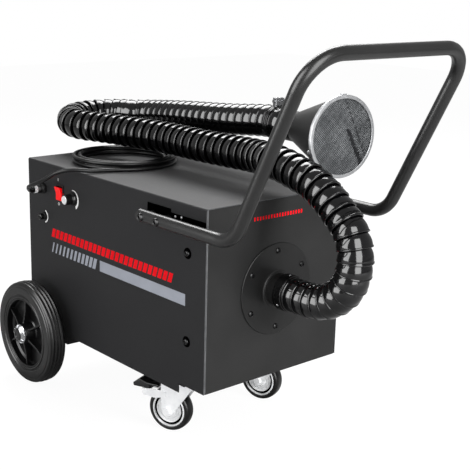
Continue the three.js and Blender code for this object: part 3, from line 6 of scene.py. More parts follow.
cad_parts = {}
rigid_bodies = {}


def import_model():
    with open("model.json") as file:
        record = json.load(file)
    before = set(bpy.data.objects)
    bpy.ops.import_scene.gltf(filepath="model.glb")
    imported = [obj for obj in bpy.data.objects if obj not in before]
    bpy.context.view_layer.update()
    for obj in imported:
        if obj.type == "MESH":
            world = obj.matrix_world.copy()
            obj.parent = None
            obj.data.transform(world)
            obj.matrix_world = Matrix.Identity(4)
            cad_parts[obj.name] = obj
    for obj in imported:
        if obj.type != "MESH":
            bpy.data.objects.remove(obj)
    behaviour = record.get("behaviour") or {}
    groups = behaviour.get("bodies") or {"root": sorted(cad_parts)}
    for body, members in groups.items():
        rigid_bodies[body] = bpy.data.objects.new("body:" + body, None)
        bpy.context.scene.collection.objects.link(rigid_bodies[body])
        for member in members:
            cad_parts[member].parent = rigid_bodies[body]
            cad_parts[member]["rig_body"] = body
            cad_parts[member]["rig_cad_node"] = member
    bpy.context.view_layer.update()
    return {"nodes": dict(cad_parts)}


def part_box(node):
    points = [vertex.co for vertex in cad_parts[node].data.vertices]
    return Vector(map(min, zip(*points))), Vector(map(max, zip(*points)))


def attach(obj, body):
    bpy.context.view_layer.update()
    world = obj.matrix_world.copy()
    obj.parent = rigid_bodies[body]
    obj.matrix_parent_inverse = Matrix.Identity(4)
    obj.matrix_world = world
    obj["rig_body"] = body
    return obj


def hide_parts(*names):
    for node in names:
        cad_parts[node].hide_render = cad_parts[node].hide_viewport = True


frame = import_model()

# Lengths are in mm from the cabinet's middle, x towards the inlet end and z up from the floor
mm = 0.001
cabinetX = -104.3
near = -1
far = 1
sideNames = {near: "near", far: "far"}


def place(x, y, z):
    return Vector(((x + cabinetX) * mm, y * mm, z * mm))


def added(name, data):
    piece = bpy.data.objects.new(name, data)
    bpy.context.scene.collection.objects.link(piece)
    return piece


# Camera

cameraSpot = {
    "at": (1444.78, -1148.0, 790.34), "yaw": 138.2123, "down": 14.677, "roll": 1.503,
    "focal": 1014.436, "frame": 470, "middle": (234.07, 235.53),
}


def makeCamera():
    yaw, down, roll = (math.radians(cameraSpot[key]) for key in ("yaw", "down", "roll"))
    turn = (Matrix.Rotation(yaw - math.pi / 2, 4, "Z") @ Matrix.Rotation(math.pi / 2 - down, 4, "X")
            @ Matrix.Rotation(roll, 4, "Z"))
    data = bpy.data.cameras.new("photoCamera")
    camera = added("photoCamera", data)
    camera.matrix_world = Matrix.Translation(place(*cameraSpot["at"])) @ turn
    wide = cameraSpot["frame"]
    data.sensor_width = 36
    data.lens = cameraSpot["focal"] * data.sensor_width / wide
    data.shift_x = (wide / 2 - cameraSpot["middle"][0]) / wide
    data.shift_y = (cameraSpot["middle"][1] - wide / 2) / wide
    data.clip_start = 0.01
    bpy.context.scene.camera = camera


makeCamera()
print("camera set")


# Materials

def hexColour(code):
    channels = [int(code[i:i + 2], 16) / 255 for i in (0, 2, 4)]
    return [c / 12.92 if c <= 0.04045 else ((c + 0.055) / 1.055) ** 2.4 for c in channels] + [1.0]


# An input is given as a value, as a socket or as the node whose first output feeds it
def addNode(tree, kind, inputs=None, **settings):
    node = tree.nodes.new(kind)
    for key, value in settings.items():
        setattr(node, key, value)
    for key, value in (inputs or {}).items():
        if isinstance(value, bpy.types.Node):
            value = value.outputs[0]
        if isinstance(value, bpy.types.NodeSocket):
            tree.links.new(value, node.inputs[key])
        else:
            node.inputs[key].default_value = value
    return node


def newMaterial(name):
    material = bpy.data.materials.new(name)
    material.use_nodes = True
    material.node_tree.nodes.clear()
    return material, material.node_tree


def noiseAt(tree, spot, size, detail, stretch=(1, 1, 1)):
    placed = addNode(tree, "ShaderNodeMapping", {"Scale": stretch, "Vector": spot})
    return addNode(tree, "ShaderNodeTexNoise", {"Scale": 1 / (size * mm), "Detail": detail, "Vector": placed})


def surface(name, base, shade, rough, grain, depth, patch, metal=0, spread=0.06, stretch=(1, 1, 1),
            level=0.5, shine=None):
    material, tree = newMaterial(name)
    spot = addNode(tree, "ShaderNodeTexCoord").outputs["Object"]
    patches = noiseAt(tree, spot, patch, 4)
    fine = noiseAt(tree, spot, grain, 2, stretch)
    tone = addNode(tree, "ShaderNodeValToRGB", {"Fac": patches})
    for stop, position, code in zip(tone.color_ramp.elements, (0.35, 0.65), (shade, base)):
        stop.position, stop.color = position, hexColour(code)
    gloss = addNode(tree, "ShaderNodeMapRange",
                    {"To Min": rough - spread, "To Max": rough + spread, "Value": fine})
    bump = addNode(tree, "ShaderNodeBump", {"Strength": 0.5, "Distance": depth * mm, "Height": fine})
    shader = addNode(tree, "ShaderNodeBsdfPrincipled", {
        "Metallic": metal, "Specular IOR Level": level, "Base Color": tone, "Roughness": gloss,
        "Normal": bump, **(shine or {}),
    })
    addNode(tree, "ShaderNodeOutputMaterial", {"Surface": shader})
    return material


# Polyester powder coat, baked: fine orange peel and a satin sheen that greys towards the light
powderCoat = surface("powderCoatedSteel", "1b1b1d", "19191b", 0.5, 1.6, 0.05, 90, level=0.1,
                     shine={"Sheen Weight": 0.13, "Sheen Roughness": 0.5})
# The same coat on the drawn tube, a little lighter and smoother
tubeCoat = surface("powderCoatedTube", "212121", "1c1c1c", 0.3, 1.2, 0.02, 60, level=0.42)
# Coat over the inlet flange and hood, spun steel with a slightly wetter look
hoodCoat = surface("powderCoatedSpinning", "1d1d1d", "191919", 0.4, 1.4, 0.04, 50, level=0.26)
# The powder coat painted lighter on the end panel: painted light standing for the stronger light on the front
# face
frontLitPanelCoat = surface("powderCoatPaintedFrontLight", "2b2b2b", "272727", 0.42, 1.6, 0.05, 90, level=0.12)
# Rubber of the cover washers, and the same black laid as painted shade in the handle strips and the castor
# grooves: it swallows the light
rubberAndShadeBlack = surface("epdmRubberAndPaintedShade", "030303", "010101", 0.7, 1.2, 0.03, 20, level=0)
# A lighter copy of the coat: a painted highlight on the cover's sheared edges and the panel's front bends,
# where they catch the light
paintedEdgeHighlight = surface("coatWithPaintedEdgeHighlight", "606163", "525355", 0.4, 0.8, 0.02, 12, metal=0.2)
# Injection-moulded polypropylene hose links: near-black and glossy, with long soft reflections
hosePlastic = surface("mouldedPolypropylene", "070708", "050506", 0.11, 9, 0.006, 30, spread=0.02,
                      level=0.55)
# Moulded ABS with a spark-eroded skin: black and evenly matt
blackAbs = surface("sparkErodedAbs", "0d0d0e", "0a0a0b", 0.42, 0.5, 0.04, 20, level=0.3)
# Polished ABS for caps and the knob: black with a sharp highlight
polishedAbs = surface("polishedAbs", "090909", "070708", 0.2, 3, 0.02, 20, spread=0.04, level=0.4)
# Vulcanised solid rubber tyre: soft sheen and faint mould bloom
tyreRubber = surface("vulcanisedRubber", "050505", "040404", 0.3, 2.2, 0.06, 30, spread=0.05, level=0.4)
# Glass-filled polypropylene rim: slightly glossier than the tyre
rimPlastic = surface("glassFilledPolypropylene", "0a0a0b", "080809", 0.3, 1.2, 0.04, 25, level=0.3)
# PVC-sheathed flexible cable: dull black with a faint long sheen
cablePvc = surface("pvcCableSheath", "0f0f10", "0c0c0d", 0.36, 2.5, 0.05, 40, level=0.22)
# Zinc-plated pressed steel: pale and bright with cloudy passivation
zincSteel = surface("zincPlatedSteel", "f7f8f9", "edeef0", 0.3, 3.0, 0.008, 14, metal=0.15)
# Nickel-chrome plating: mirror-like
chromePlate = surface("chromePlatedSteel", "c2c3c5", "a9aaac", 0.14, 8, 0.01, 30, metal=1, spread=0.03)
# Blackened steel fasteners with an oily shine
blackOxide = surface("blackOxideSteel", "111112", "0b0b0c", 0.26, 1.0, 0.02, 8, metal=0.5, level=0.6)
# Spun aluminium band: fine turning lines give it a broken sheen
spunAluminium = surface("spunAluminium", "b8b9bb", "a0a1a3", 0.5, 0.9, 0.03, 16, metal=0.7,
                        stretch=(1, 0.08, 0.08))
# Drawn steel wire, dulled by weaving
wovenWire = surface("drawnSteelWire", "86888a", "5e6062", 0.45, 1.0, 0.02, 24, metal=0.4)
# The same gauze painted darker along its crease: painted shade for the fold's shading, where the weave is
# seen edge-on
paintedCreaseShadeGauze = surface("steelGauzeWithPaintedCreaseShade", "2b2c2e", "232426", 0.6, 1.1, 0.25, 22, metal=0.2, level=0.2)
# Fine steel gauze behind the wires, woven too close to see through from the side
steelGauze = surface("wovenSteelGauze", "3a3c3e", "2e3032", 0.6, 1.1, 0.25, 22, metal=0.2, spread=0.1,
                     level=0.3)
# Light grey moulded nylon wheel core
greyNylon = surface("mouldedNylon", "e6e7e8", "d8d9da", 0.4, 1.0, 0.02, 15, level=0.4)
# Red polycarbonate rocker with a painted glow: glossy, and its emission keeps the warm body bright red
redPolycarbonatePaintedGlow = surface("redPolycarbonatePaintedGlow", "e0060c", "c80408", 0.22, 4, 0.02, 10, spread=0.04, level=0.2,
                           shine={"Emission Color": hexColour("ff0c12"), "Emission Strength": 0.45})
# Screen-printed two-part inks: flat and opaque on the coat
greyInk = surface("greyScreenInk", "a6aab4", "a0a4ae", 0.6, 0.8, 0.01, 30, level=0.08)
redInk = surface("redScreenInk", "f5101f", "ea0d1a", 0.6, 0.8, 0.01, 30, level=0.04)
whiteInk = surface("whiteScreenInk", "ffffff", "f4f4f2", 0.6, 0.8, 0.01, 10, level=0.1)
# Hot-dip galvanised sheet inside the cabinet: dull with a soft spangle
galvanised = surface("galvanisedSheet", "aeb1b3", "989b9e", 0.42, 8, 0.03, 10, metal=0.85)
# Pleated glass-paper filter medium: cream and fibrous
filterPaper = surface("glassFibrePaper", "dad4c4", "cbc4b2", 0.9, 0.6, 0.15, 20, level=0.2)
# Air-dried enamel on the motor's cast body
motorEnamel = surface("airDriedEnamel", "1f2022", "18191b", 0.4, 2.0, 0.08, 25)
# Cast aluminium fan wheel
castAluminium = surface("castAluminium", "b4b6b8", "9c9ea1", 0.45, 1.2, 0.08, 14, metal=0.9)
print("materials made")


# Modelling helpers

def deselect():
    active = bpy.context.view_layer.objects.active
    if active and active.mode != "OBJECT":
        bpy.ops.object.mode_set(mode="OBJECT")
    bpy.ops.object.select_all(action="DESELECT")


def only(*pieces):
    deselect()
    for piece in pieces:
        piece.select_set(True)
    bpy.context.view_layer.objects.active = pieces[0]


def named(name):
    piece = bpy.context.object
    piece.name = name
    return piece


def settle(piece):
    only(piece)
    bpy.ops.object.transform_apply(location=True, rotation=True, scale=True)
    return piece


def modified(piece, kind, **settings):
    only(piece)
    modifier = piece.modifiers.new(kind, kind)
    for key, value in settings.items():
        setattr(modifier, key, value)
    bpy.ops.object.modifier_apply(modifier=modifier.name)
    return piece


def soften(piece, width, steps=2, angle=30):
    return modified(piece, "BEVEL", width=width * mm, segments=steps, limit_method="ANGLE",
                    angle_limit=math.radians(angle))


def mergePoints(piece, distance):
    only(piece)
    bpy.ops.object.mode_set(mode="EDIT")
    bpy.ops.mesh.select_all(action="SELECT")
    bpy.ops.mesh.remove_doubles(threshold=distance)


def faceOutwards(piece):
    mergePoints(piece, 1e-6)
    bpy.ops.mesh.normals_make_consistent(inside=False)
    bpy.ops.object.mode_set(mode="OBJECT")
    return piece


# Rings of radius and height are drawn one after another, as a lathe would turn them
def turned(name, rings, sides, loop=False):
    deselect()
    radius, height = rings[0]
    bpy.ops.mesh.primitive_circle_add(vertices=sides, radius=radius * mm, location=(0, 0, height * mm))
    piece = named(name)
    bpy.ops.object.mode_set(mode="EDIT")
    for nextRadius, nextHeight in rings[1:] + ([rings[0]] if loop else []):
        rise = (0, 0, (nextHeight - height) * mm)
        bpy.ops.mesh.extrude_region_move(TRANSFORM_OT_translate={"value": rise})
        grow = nextRadius / radius
        bpy.ops.transform.resize(value=(grow, grow, 1), center_override=(0, 0, nextHeight * mm))
        radius, height = nextRadius, nextHeight
    if not loop:
        bpy.ops.mesh.select_all(action="SELECT")
        bpy.ops.mesh.fill_holes(sides=0)
    settle(piece)
    return faceOutwards(piece)


def aim(piece, at, along):
    turn = Vector(along).normalized().to_track_quat("Z", "Y").to_matrix().to_4x4()
    piece.matrix_world = Matrix.Translation(place(*at)) @ turn
    return settle(piece)


def turnedAt(name, rings, at, along, sides, loop=False):
    return aim(turned(name, rings, sides, loop), at, along)


def block(name, low, high, soft=0.5):
    deselect()
    a, b = place(*low), place(*high)
    bpy.ops.mesh.primitive_cube_add(size=1, location=(a + b) / 2, scale=b - a)
    piece = settle(named(name))
    return soften(piece, soft) if soft else piece


drawnIn = {
    "xz": lambda u, v, w: place(u, w, v),
    "yz": lambda u, v, w: place(w, u, v),
    "xy": lambda u, v, w: place(u, v, w),
}


# A flat outline, its corners moved into place one by one, then pulled out to its thickness
def plate(name, outline, plane, start, end, soft=0.4, steps=2):
    deselect()
    bpy.ops.mesh.primitive_circle_add(vertices=len(outline), radius=mm, fill_type="NGON")
    piece = named(name)
    draw = drawnIn[plane]
    for vertex, (u, v) in zip(piece.data.vertices, outline):
        vertex.co = draw(u, v, start)
    bpy.ops.object.mode_set(mode="EDIT")
    pull = draw(0, 0, end) - draw(0, 0, start)
    bpy.ops.mesh.extrude_region_move(TRANSFORM_OT_translate={"value": pull})
    faceOutwards(piece)
    return soften(piece, soft, steps) if soft else piece


def arc(centre, radius, start, end, steps, grow=0):
    path = []
    for i in range(steps + 1):
        angle, reach = math.radians(start + (end - start) * i / steps), radius + grow * i / steps
        path.append((centre[0] + reach * math.cos(angle), centre[1] + reach * math.sin(angle)))
    return path


def mirrored(half):
    return half + [(r, -h) for r, h in reversed(half)]


def curveAlong(name, points, radius, sides=16):
    data = bpy.data.curves.new(name, "CURVE")
    data.dimensions = "3D"
    spline = data.splines.new("POLY")
    spline.points.add(len(points) - 1)
    for point, spot in zip(spline.points, points):
        point.co = (*spot, 1)
    data.bevel_depth = radius * mm
    data.bevel_resolution = max(0, sides // 4 - 1)
    data.use_fill_caps = True
    return added(name, data)


def asMesh(curve):
    only(curve)
    bpy.ops.object.convert(target="MESH")
    return bpy.context.object


def joined(name, pieces):
    only(*pieces)
    if len(pieces) > 1:
        bpy.ops.object.join()
    return named(name)


# Smooth to the given angle, with the broad faces kept flat against their soft edges
def shade(piece, angle):
    only(piece)
    bpy.ops.object.shade_smooth_by_angle(angle=math.radians(angle))
    modified(piece, "WEIGHTED_NORMAL", keep_sharp=True, weight=80)


def dress(piece, body, material, slotName, *replaced, angle=35):
    if piece.type == "MESH":
        shade(piece, angle)
    piece.data.materials.clear()
    piece.data.materials.append(material)
    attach(piece, body)
    if replaced:
        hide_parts(*replaced)
    return piece


def fixed(piece, material, slotName, *replaced, angle=35):
    return dress(piece, "chassis", material, slotName, *replaced, angle=angle)


# A frame solid whose shape is right, merged and given soft edges
def refined(node, material, slotName, soft, steps=2, body="chassis"):
    only(frame["nodes"][node])
    bpy.ops.object.duplicate()
    piece = named(node + "_finished")
    piece.parent = None
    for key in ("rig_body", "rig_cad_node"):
        piece.pop(key, None)
    mergePoints(piece, 1e-5)
    bpy.ops.mesh.dissolve_limited(angle_limit=math.radians(2))
    soften(piece, soft, steps, 25)
    return dress(piece, body, material, slotName, node, angle=28)


screwDome = [(1, 0), (1, 0.3), (0.82, 0.78), (0.575, 1), (0.5, 0.97), (0.47, 0.45)]


def screwHead(name, at, along, radius, height):
    dome = [(radius * r, height * h) for r, h in screwDome] + [(0.15, height * 0.4)]
    fixed(turnedAt(name, dome, at, along, 28), blackOxide, "bolt_steel")


def cutAway(piece, *tools):
    tool = joined("tool", tools)
    modified(piece, "BOOLEAN", operation="DIFFERENCE", solver="EXACT", object=tool)
    bpy.data.objects.remove(tool)


def turnAbout(piece, centre, axis, degrees):
    spot = place(*centre)
    turn = Matrix.Rotation(math.radians(degrees), 4, Vector(axis))
    piece.matrix_world = Matrix.Translation(spot) @ turn @ Matrix.Translation(-spot) @ piece.matrix_world
    return settle(piece)


def paintFaces(piece, material, wanted):
    piece.data.materials.append(material)
    for face in piece.data.polygons:
        if wanted(face):
            face.material_index = len(piece.data.materials) - 1


# Cords: the hose with its hood, then the mains lead with its coil

def smoothRoute(points, step, perSpan=16):
    spots = [Vector(p) for p in points]
    ends = [2 * spots[0] - spots[1], *spots, 2 * spots[-1] - spots[-2]]
    line = []
    for i in range(len(spots) - 1):
        p0, p1, p2, p3 = ends[i:i + 4]
        d0, d1, d2 = ((b - a).length ** 0.5 for a, b in ((p0, p1), (p1, p2), (p2, p3)))
        t1 = ((p1 - p0) / d0 - (p2 - p0) / (d0 + d1) + (p2 - p1) / d1) * d1
        t2 = ((p2 - p1) / d1 - (p3 - p1) / (d1 + d2) + (p3 - p2) / d2) * d1
        for j in range(perSpan):
            w = j / perSpan
            cubic = (2 * p1 - 2 * p2 + t1 + t2) * w ** 3 + (3 * p2 - 3 * p1 - 2 * t1 - t2) * w ** 2
            line.append(cubic + t1 * w + p1)
    line.append(spots[-1])
    return evenly(line, step)


def evenly(line, step):
    runs = [(b - a).length for a, b in zip(line, line[1:])]
    whole = sum(runs)
    count = max(2, round(whole / step))
    spaced, walked, i = [line[0]], 0.0, 0
    for n in range(1, count):
        goal = whole * n / count
        while walked + runs[i] < goal:
            walked += runs[i]
            i += 1
        spaced.append(line[i].lerp(line[i + 1], (goal - walked) / runs[i]))
    return spaced + [line[-1]], whole


hoseShape = {
    "front": [
        (312.6, 0, 270), (340, 0, 270), (366, 0, 271.5), (397, 0, 281.5), (425, 0, 304), (440, 0, 332),
        (443, 0, 371), (428, 0, 406), (408, 0, 424.5), (383, 0, 444.5), (347, 0, 465), (315, 0, 474.5),
        (283, 2, 481), (245, 6, 484.5), (184, 20, 483), (121, 20, 481.5), (43, 16, 481), (-39, 16, 481.5),
        (-143, -2, 482), (-220, -20, 482),
    ],
    "bendAt": (-262, -33, 482), "bendRadius": 68, "bendTurn": 197.5, "bendRise": 11, "bendSteps": 11,
    "back": [(-254, 118, 495), (-134, 118, 506.5), (11, 118, 517), (80, 121.5, 523.5), (105, 122.7, 525.5)],
    "diameter": 58, "links": 82, "sides": 40, "drawnPitch": 20, "step": 4, "neckGap": 0.3,
}
hoodSpot = {"at": (164, 116.3, 526), "yaw": -0.1084}
hoodAxis = Vector((math.cos(hoodSpot["yaw"]), math.sin(hoodSpot["yaw"]), 0))
hoodSide = Vector((-hoodAxis.y, hoodAxis.x, 0))


def hoodPoint(along, across=0.0, height=0.0):
    return Vector(hoodSpot["at"]) + hoodAxis * along + hoodSide * across + Vector((0, 0, height))


def hoseRoute():
    h = hoseShape
    (x, y, z), radius, turn = h["bendAt"], h["bendRadius"], math.radians(h["bendTurn"])
    centre = (x + radius * math.sin(turn), y - radius * math.cos(turn))
    bend = [(*spot, z + h["bendRise"] * i / h["bendSteps"])
            for i, spot in enumerate(arc(centre, radius, h["bendTurn"] + 90, 90, h["bendSteps"]))]
    return smoothRoute([*h["front"], *bend, *h["back"], hoodPoint(-h["neckGap"])], h["step"])


# One shingled link, tapering from a thin bright lip into the mouth of the next, bent along the route
def makeHose():
    line, length = hoseRoute()
    pitch = length / hoseShape["links"]
    profile = [
        (28.2, 0), (29.2, 0.2), (29.8, 0.8), (29.8, 1.7), (29.3, 2.4), (28.7, 2.9), (28.9, 5), (28.7, 9),
        (27.9, 13), (26.6, 16.5), (25.2, 19.5), (24.4, 22.5), (23.8, 22.5), (25.4, 16), (26.8, 9), (27.2, 3),
        (27.5, 0),
    ]
    stretch = pitch / hoseShape["drawnPitch"]
    link = turned("suction_hose", [(r, h * stretch) for r, h in profile], hoseShape["sides"], loop=True)
    link.matrix_world = Matrix.Rotation(math.radians(90), 4, "Y")
    settle(link)
    modified(link, "ARRAY", count=hoseShape["links"], use_relative_offset=False, use_constant_offset=True,
             constant_offset_displace=(pitch * mm, 0, 0))
    points = [place(*p) for p in line]
    guide = curveAlong("hoseGuide", points, 0)
    guide.data.twist_mode = "MINIMUM"
    modified(link, "CURVE", object=guide, deform_axis="POS_X")
    bpy.data.objects.remove(guide)
    fixed(link, hosePlastic, "gloss_plastic", "hose", angle=50)
    return link, points, length * mm


hose, hosePoints, hoseLength = makeHose()

cordShape = {
    "lead": [
        (-212.6, -176.3, 377.7), (-212.6, -184.5, 377.7), (-204, -194, 384), (-188, -200, 391.5),
        (-168, -201, 399), (-148, -199.5, 407.5), (-131, -197, 416.5), (-115, -192, 426),
        (-102, -184, 431.5), (-89, -173, 434.5), (-78, -158, 434), (-69, -141, 432.5), (-60, -116, 432.4),
    ],
    "tail": [
        (-100, 70, 440), (-117, 81, 437), (-135, 87, 435), (-150, 88, 436.5), (-158, 88, 438.3),
        (-166, 88, 438.3),
    ],
    "centre": (-131, -30), "outer": 101, "pitch": 10.5, "rise": 9, "start": -35, "floor": 432.3,
    "lower": 2, "climb": 0.5, "upper": 1.75, "steps": 24, "radius": 4, "step": 4, "perSpan": 8,
}


# The coil spirals in on the roof, climbs over half a turn and spirals out on top of itself
def coilPoints():
    c = cordShape
    total = round((c["lower"] + c["climb"] + c["upper"]) * c["steps"])
    points = []
    for i in range(total + 1):
        turn = i / c["steps"]
        rising = min(1, max(0, (turn - c["lower"]) / c["climb"]))
        outward = c["pitch"] * max(0, turn - c["lower"] - c["climb"])
        radius = c["outer"] - c["pitch"] * min(turn, c["lower"]) + outward
        angle = math.radians(c["start"]) + turn * 2 * math.pi
        points.append((c["centre"][0] + radius * math.cos(angle), c["centre"][1] + radius * math.sin(angle),
                       c["floor"] + c["rise"] * (1 - math.cos(math.pi * rising)) / 2))
    return points


def makeMainsLead():
    line, length = smoothRoute([*cordShape["lead"], *coilPoints(), *cordShape["tail"]],
                               cordShape["step"], cordShape["perSpan"])
    points = [place(*p) for p in line]
    lead = curveAlong("mainsLead", points, cordShape["radius"])
    fixed(lead, cablePvc, "cord_rubber", "cord_lead", "cord_coil", "cord_tail")
    return lead, points, length * mm


mainsLead, leadPoints, leadLength = makeMainsLead()
print(f"cords laid: hose {hoseLength:.3f} m, mains lead {leadLength:.3f} m")


# Cabinet

cabinet = {
    "halfLength": 270, "halfWidth": 156, "base": 116, "roof": 428, "sheet": 1.5, "bend": 3.2, "foot": 99,
    "notch": 204.7, "lining": 154.2, "liningTop": 426.2, "panelBend": 3, "flangeFoot": 138.4,
    "frontFlange": 62, "footFlange": 5, "frontLip": 18, "lipGap": 0.4, "mouth": 28.4, "mouthDeep": 20,
    "trayFlange": 22, "trayStart": -268.2, "trayEnd": 264, "edgeHighlightFrom": 110, "edgeHighlightTo": 424,
    "rockerHole": (11.3, 14.4), "holes": {"knob": 3.6, "fuse": 6.5, "gland": 6.5},
    "over": 4, "inside": 150, "under": 80,
}
inletHeight = 270
rearAxle = {"x": -202, "z": 100, "slot": 11}
# Where the controls stand on the near side, and the ink of their marks
controls = {
    "face": -156, "knob": (-113, 374.6), "fuse": (-214, 322.5), "gland": (-212.6, 377.7),
    "rocker": (-156.4, 377.7), "ink": (-156.02, -156.16),
}


def coverSection():
    w, top, bend = cabinet["halfWidth"], cabinet["roof"] - cabinet["bend"], cabinet["bend"]
    foot, sheet = cabinet["foot"], cabinet["sheet"]
    outside = [(w, foot), *arc((w - bend, top), bend, 0, 90, 6), *arc((bend - w, top), bend, 90, 180, 6)]
    inside = [*arc((bend - w, top), bend - sheet, 180, 90, 6), *arc((w - bend, top), bend - sheet, 90, 0, 6)]
    return [*outside, (-w, foot), (sheet - w, foot), *inside, (w - sheet, foot)]


# The cover is one sheet folded over the cabinet, notched at the front and slotted over the axle
def makeCover():
    c = cabinet
    length, wide, slot = c["halfLength"], c["halfWidth"] + c["over"], rearAxle["slot"]
    (x, z), (halfWide, halfTall) = controls["rocker"], c["rockerHole"]
    cover = plate("cover_sheet", coverSection(), "yz", -length, length, 0)
    tools = [
        block("tool", (c["notch"], -wide, c["under"]), (length + c["over"], wide, c["base"]), 0),
        block("tool", (x - halfWide, -wide, z - halfTall), (x + halfWide, -c["inside"], z + halfTall), 0),
        block("tool", (rearAxle["x"] - slot, -wide, c["under"]),
              (rearAxle["x"] + slot, wide, rearAxle["z"] + slot), 0),
    ]
    for name, radius in c["holes"].items():
        (x, z), drill = controls[name], [(radius, 0), (radius, 12)]
        tools.append(turnedAt("tool", drill, (x, -c["inside"], z), (0, -1, 0), 24))
    cutAway(cover, *tools)
    soften(cover, 0.3, 2, 40)
    fixed(cover, powderCoat, "powder_coat", "cover")
    # Painted highlight: the cover's cut edges at both ends, between two heights, take the lighter copy
    paintFaces(cover, paintedEdgeHighlight, lambda f: abs(f.normal.x) > 0.9
               and abs(f.center.x / mm - cabinetX) > length - 1
               and c["edgeHighlightFrom"] < f.center.z / mm < c["edgeHighlightTo"])


# The front panel stands inside the cover, its sides and top turned back in rounded bends
def makeFrontPanel():
    c = cabinet
    out, y, bend, sheet = c["halfLength"], c["lining"], c["panelBend"], c["sheet"]

    def channel(back):
        low, high = (out - bend, bend - y), (out - bend, y - bend)
        outer = [*arc(low, bend, -90, 0, 5), *arc(high, bend, 0, 90, 5)]
        inner = [*arc(high, bend - sheet, 90, 0, 5), *arc(low, bend - sheet, 0, -90, 5)]
        return [(back, -y), *outer, (back, y), (back, y - sheet), *inner, (back, sheet - y)]

    parts = [
        plate("panel", channel(out - c["frontFlange"]), "xy", c["flangeFoot"], c["liningTop"], 0),
        plate("panel", channel(out - c["footFlange"]), "xy", c["base"], c["flangeFoot"], 0),
        block("panel", (out - c["frontLip"], bend - y, c["liningTop"] - sheet),
              (out - c["lipGap"], y - bend, c["liningTop"]), 0.3),
    ]
    panel = joined("front_panel_sheet", parts)
    mouth = [(c["mouth"], 0), (c["mouth"], 2 * c["mouthDeep"])]
    cutAway(panel, turnedAt("tool", mouth, (out - c["mouthDeep"], 0, inletHeight), (1, 0, 0), 64))
    # Painted light: the front panel takes the lighter copy of the coat
    fixed(panel, frontLitPanelCoat, "powder_coat", "front_panel")
    # Painted highlight: the panel's rounded front bends take the lighter copy
    paintFaces(panel, paintedEdgeHighlight, lambda f: f.normal.x > 0.3 and abs(f.normal.y) > 0.3)


def makeTray():
    y, base, sheet, end = cabinet["lining"], cabinet["base"], cabinet["sheet"], cabinet["trayEnd"]
    top = base + cabinet["trayFlange"]
    section = [(-y, base), (y, base), (y, top), (y - sheet, top), (y - sheet, base + sheet),
               (sheet - y, base + sheet), (sheet - y, top), (-y, top)]
    fixed(plate("base_tray_sheet", section, "yz", cabinet["trayStart"], end), powderCoat, "powder_coat",
          "base_tray")


coverScrew = {
    "x": 224, "heights": (196, 347), "ring": [(8.9, 0), (9.4, 0.3), (8.8, 1.1), (4, 1.1), (4, 0)],
    "raised": 0.9, "head": 5.4, "height": 3.2,
}


# Black pan-head screws in dark rubber rounds hold the cover to the front panel's flanges
def makeCoverScrews():
    s = coverScrew
    for side, label in sideNames.items():
        out, y = (0, side, 0), side * cabinet["halfWidth"]
        for i, z in enumerate(s["heights"]):
            fixed(turnedAt(f"cover_screw_washer_{label}_{i}", s["ring"], (s["x"], y, z), out, 40, True),
                  rubberAndShadeBlack, "black_plastic")
            screwHead(f"cover_screw_{label}_{i}", (s["x"], y + side * s["raised"], z), out, s["head"],
                      s["height"])


makeCover()
makeFrontPanel()
makeTray()
makeCoverScrews()
refined("rear_panel", powderCoat, "powder_coat", 0.5)

keptNodes = {
    "partition": galvanised, "filter": filterPaper, "fan_housing": galvanised, "impeller": castAluminium,
    "motor": motorEnamel, "axle": zincSteel, "speed_control": blackAbs,
}
for nodeName, nodeMaterial in keptNodes.items():
    frame["nodes"][nodeName].material_slots[0].material = nodeMaterial
print("cabinet made")


# Painted tube shadow and printing

# Where the painted tube shadow lies on each side, and the painted glints on it
tubeShadow = {
    "start": 117, "end": 268.6, "low": 397, "high": 406.5, "thick": 1.4, "raised": 180, "crest": 412.5,
    "crestThick": 1.26, "overlap": 1, "bolts": ((193, 402), (209, 403.6)), "boltOut": 1.3,
    "boltHead": [(2.1, 0), (2.1, 0.7), (1.5, 1.3), (0.2, 1.5)],
}


# Painted shade: a black strip behind each handle leg where the tube's shadow and reflection darken the panel,
# deeper at its rear, with two small bright screws as painted highlights where a spacer's reflection glints
def makeTubeShadowStrips():
    t = tubeShadow
    for side, label in sideNames.items():
        y = side * cabinet["halfWidth"]
        strip = block(f"handle_shadow_strip_{label}", (t["start"], y, t["low"]),
                      (t["end"], y + side * t["thick"], t["high"]))
        crest = block("crest", (t["start"], y, t["high"] - t["overlap"]),
                      (t["raised"], y + side * t["crestThick"], t["crest"]))
        fixed(joined(f"handle_shadow_strip_{label}", [strip, crest]), rubberAndShadeBlack, "black_plastic")
        for i, (x, z) in enumerate(t["bolts"]):
            at = (x, y + side * t["boltOut"], z)
            fixed(turnedAt(f"strip_glint_screw_{label}_{i}", t["boltHead"], at, (0, side, 0), 20), zincSteel,
                  "bolt_steel")


printing = {
    "face": -156.02, "thick": 0.12, "gap": 0.02, "stripe": ((-27, 219), (256.5, 276.6)), "lean": 0.32,
    "red": {"from": -190, "count": 27, "low": 287, "high": 304, "bar": 10.5, "step": 13.9},
    "front": {"from": -55, "count": 18, "low": 394.5, "high": 401, "bar": 3.2, "step": 6.3},
    "grey": {"from": -190, "count": 12, "low": 256.5, "high": 276.6, "bar": 4, "step": 12.6, "grow": 0.5},
}


def barEnds(row):
    for i in range(row["count"]):
        start = row["from"] + i * row["step"]
        yield start, start + row["bar"] + i * row.get("grow", 0)


def slantedBars(row):
    low, high, face = row["low"], row["high"], printing["face"]
    lean = printing["lean"] * (high - low)
    return [plate("bar", [(a, low), (b, low), (b + lean, high), (a + lean, high)], "xz",
                  face, face - printing["thick"], 0) for a, b in barEnds(row)]


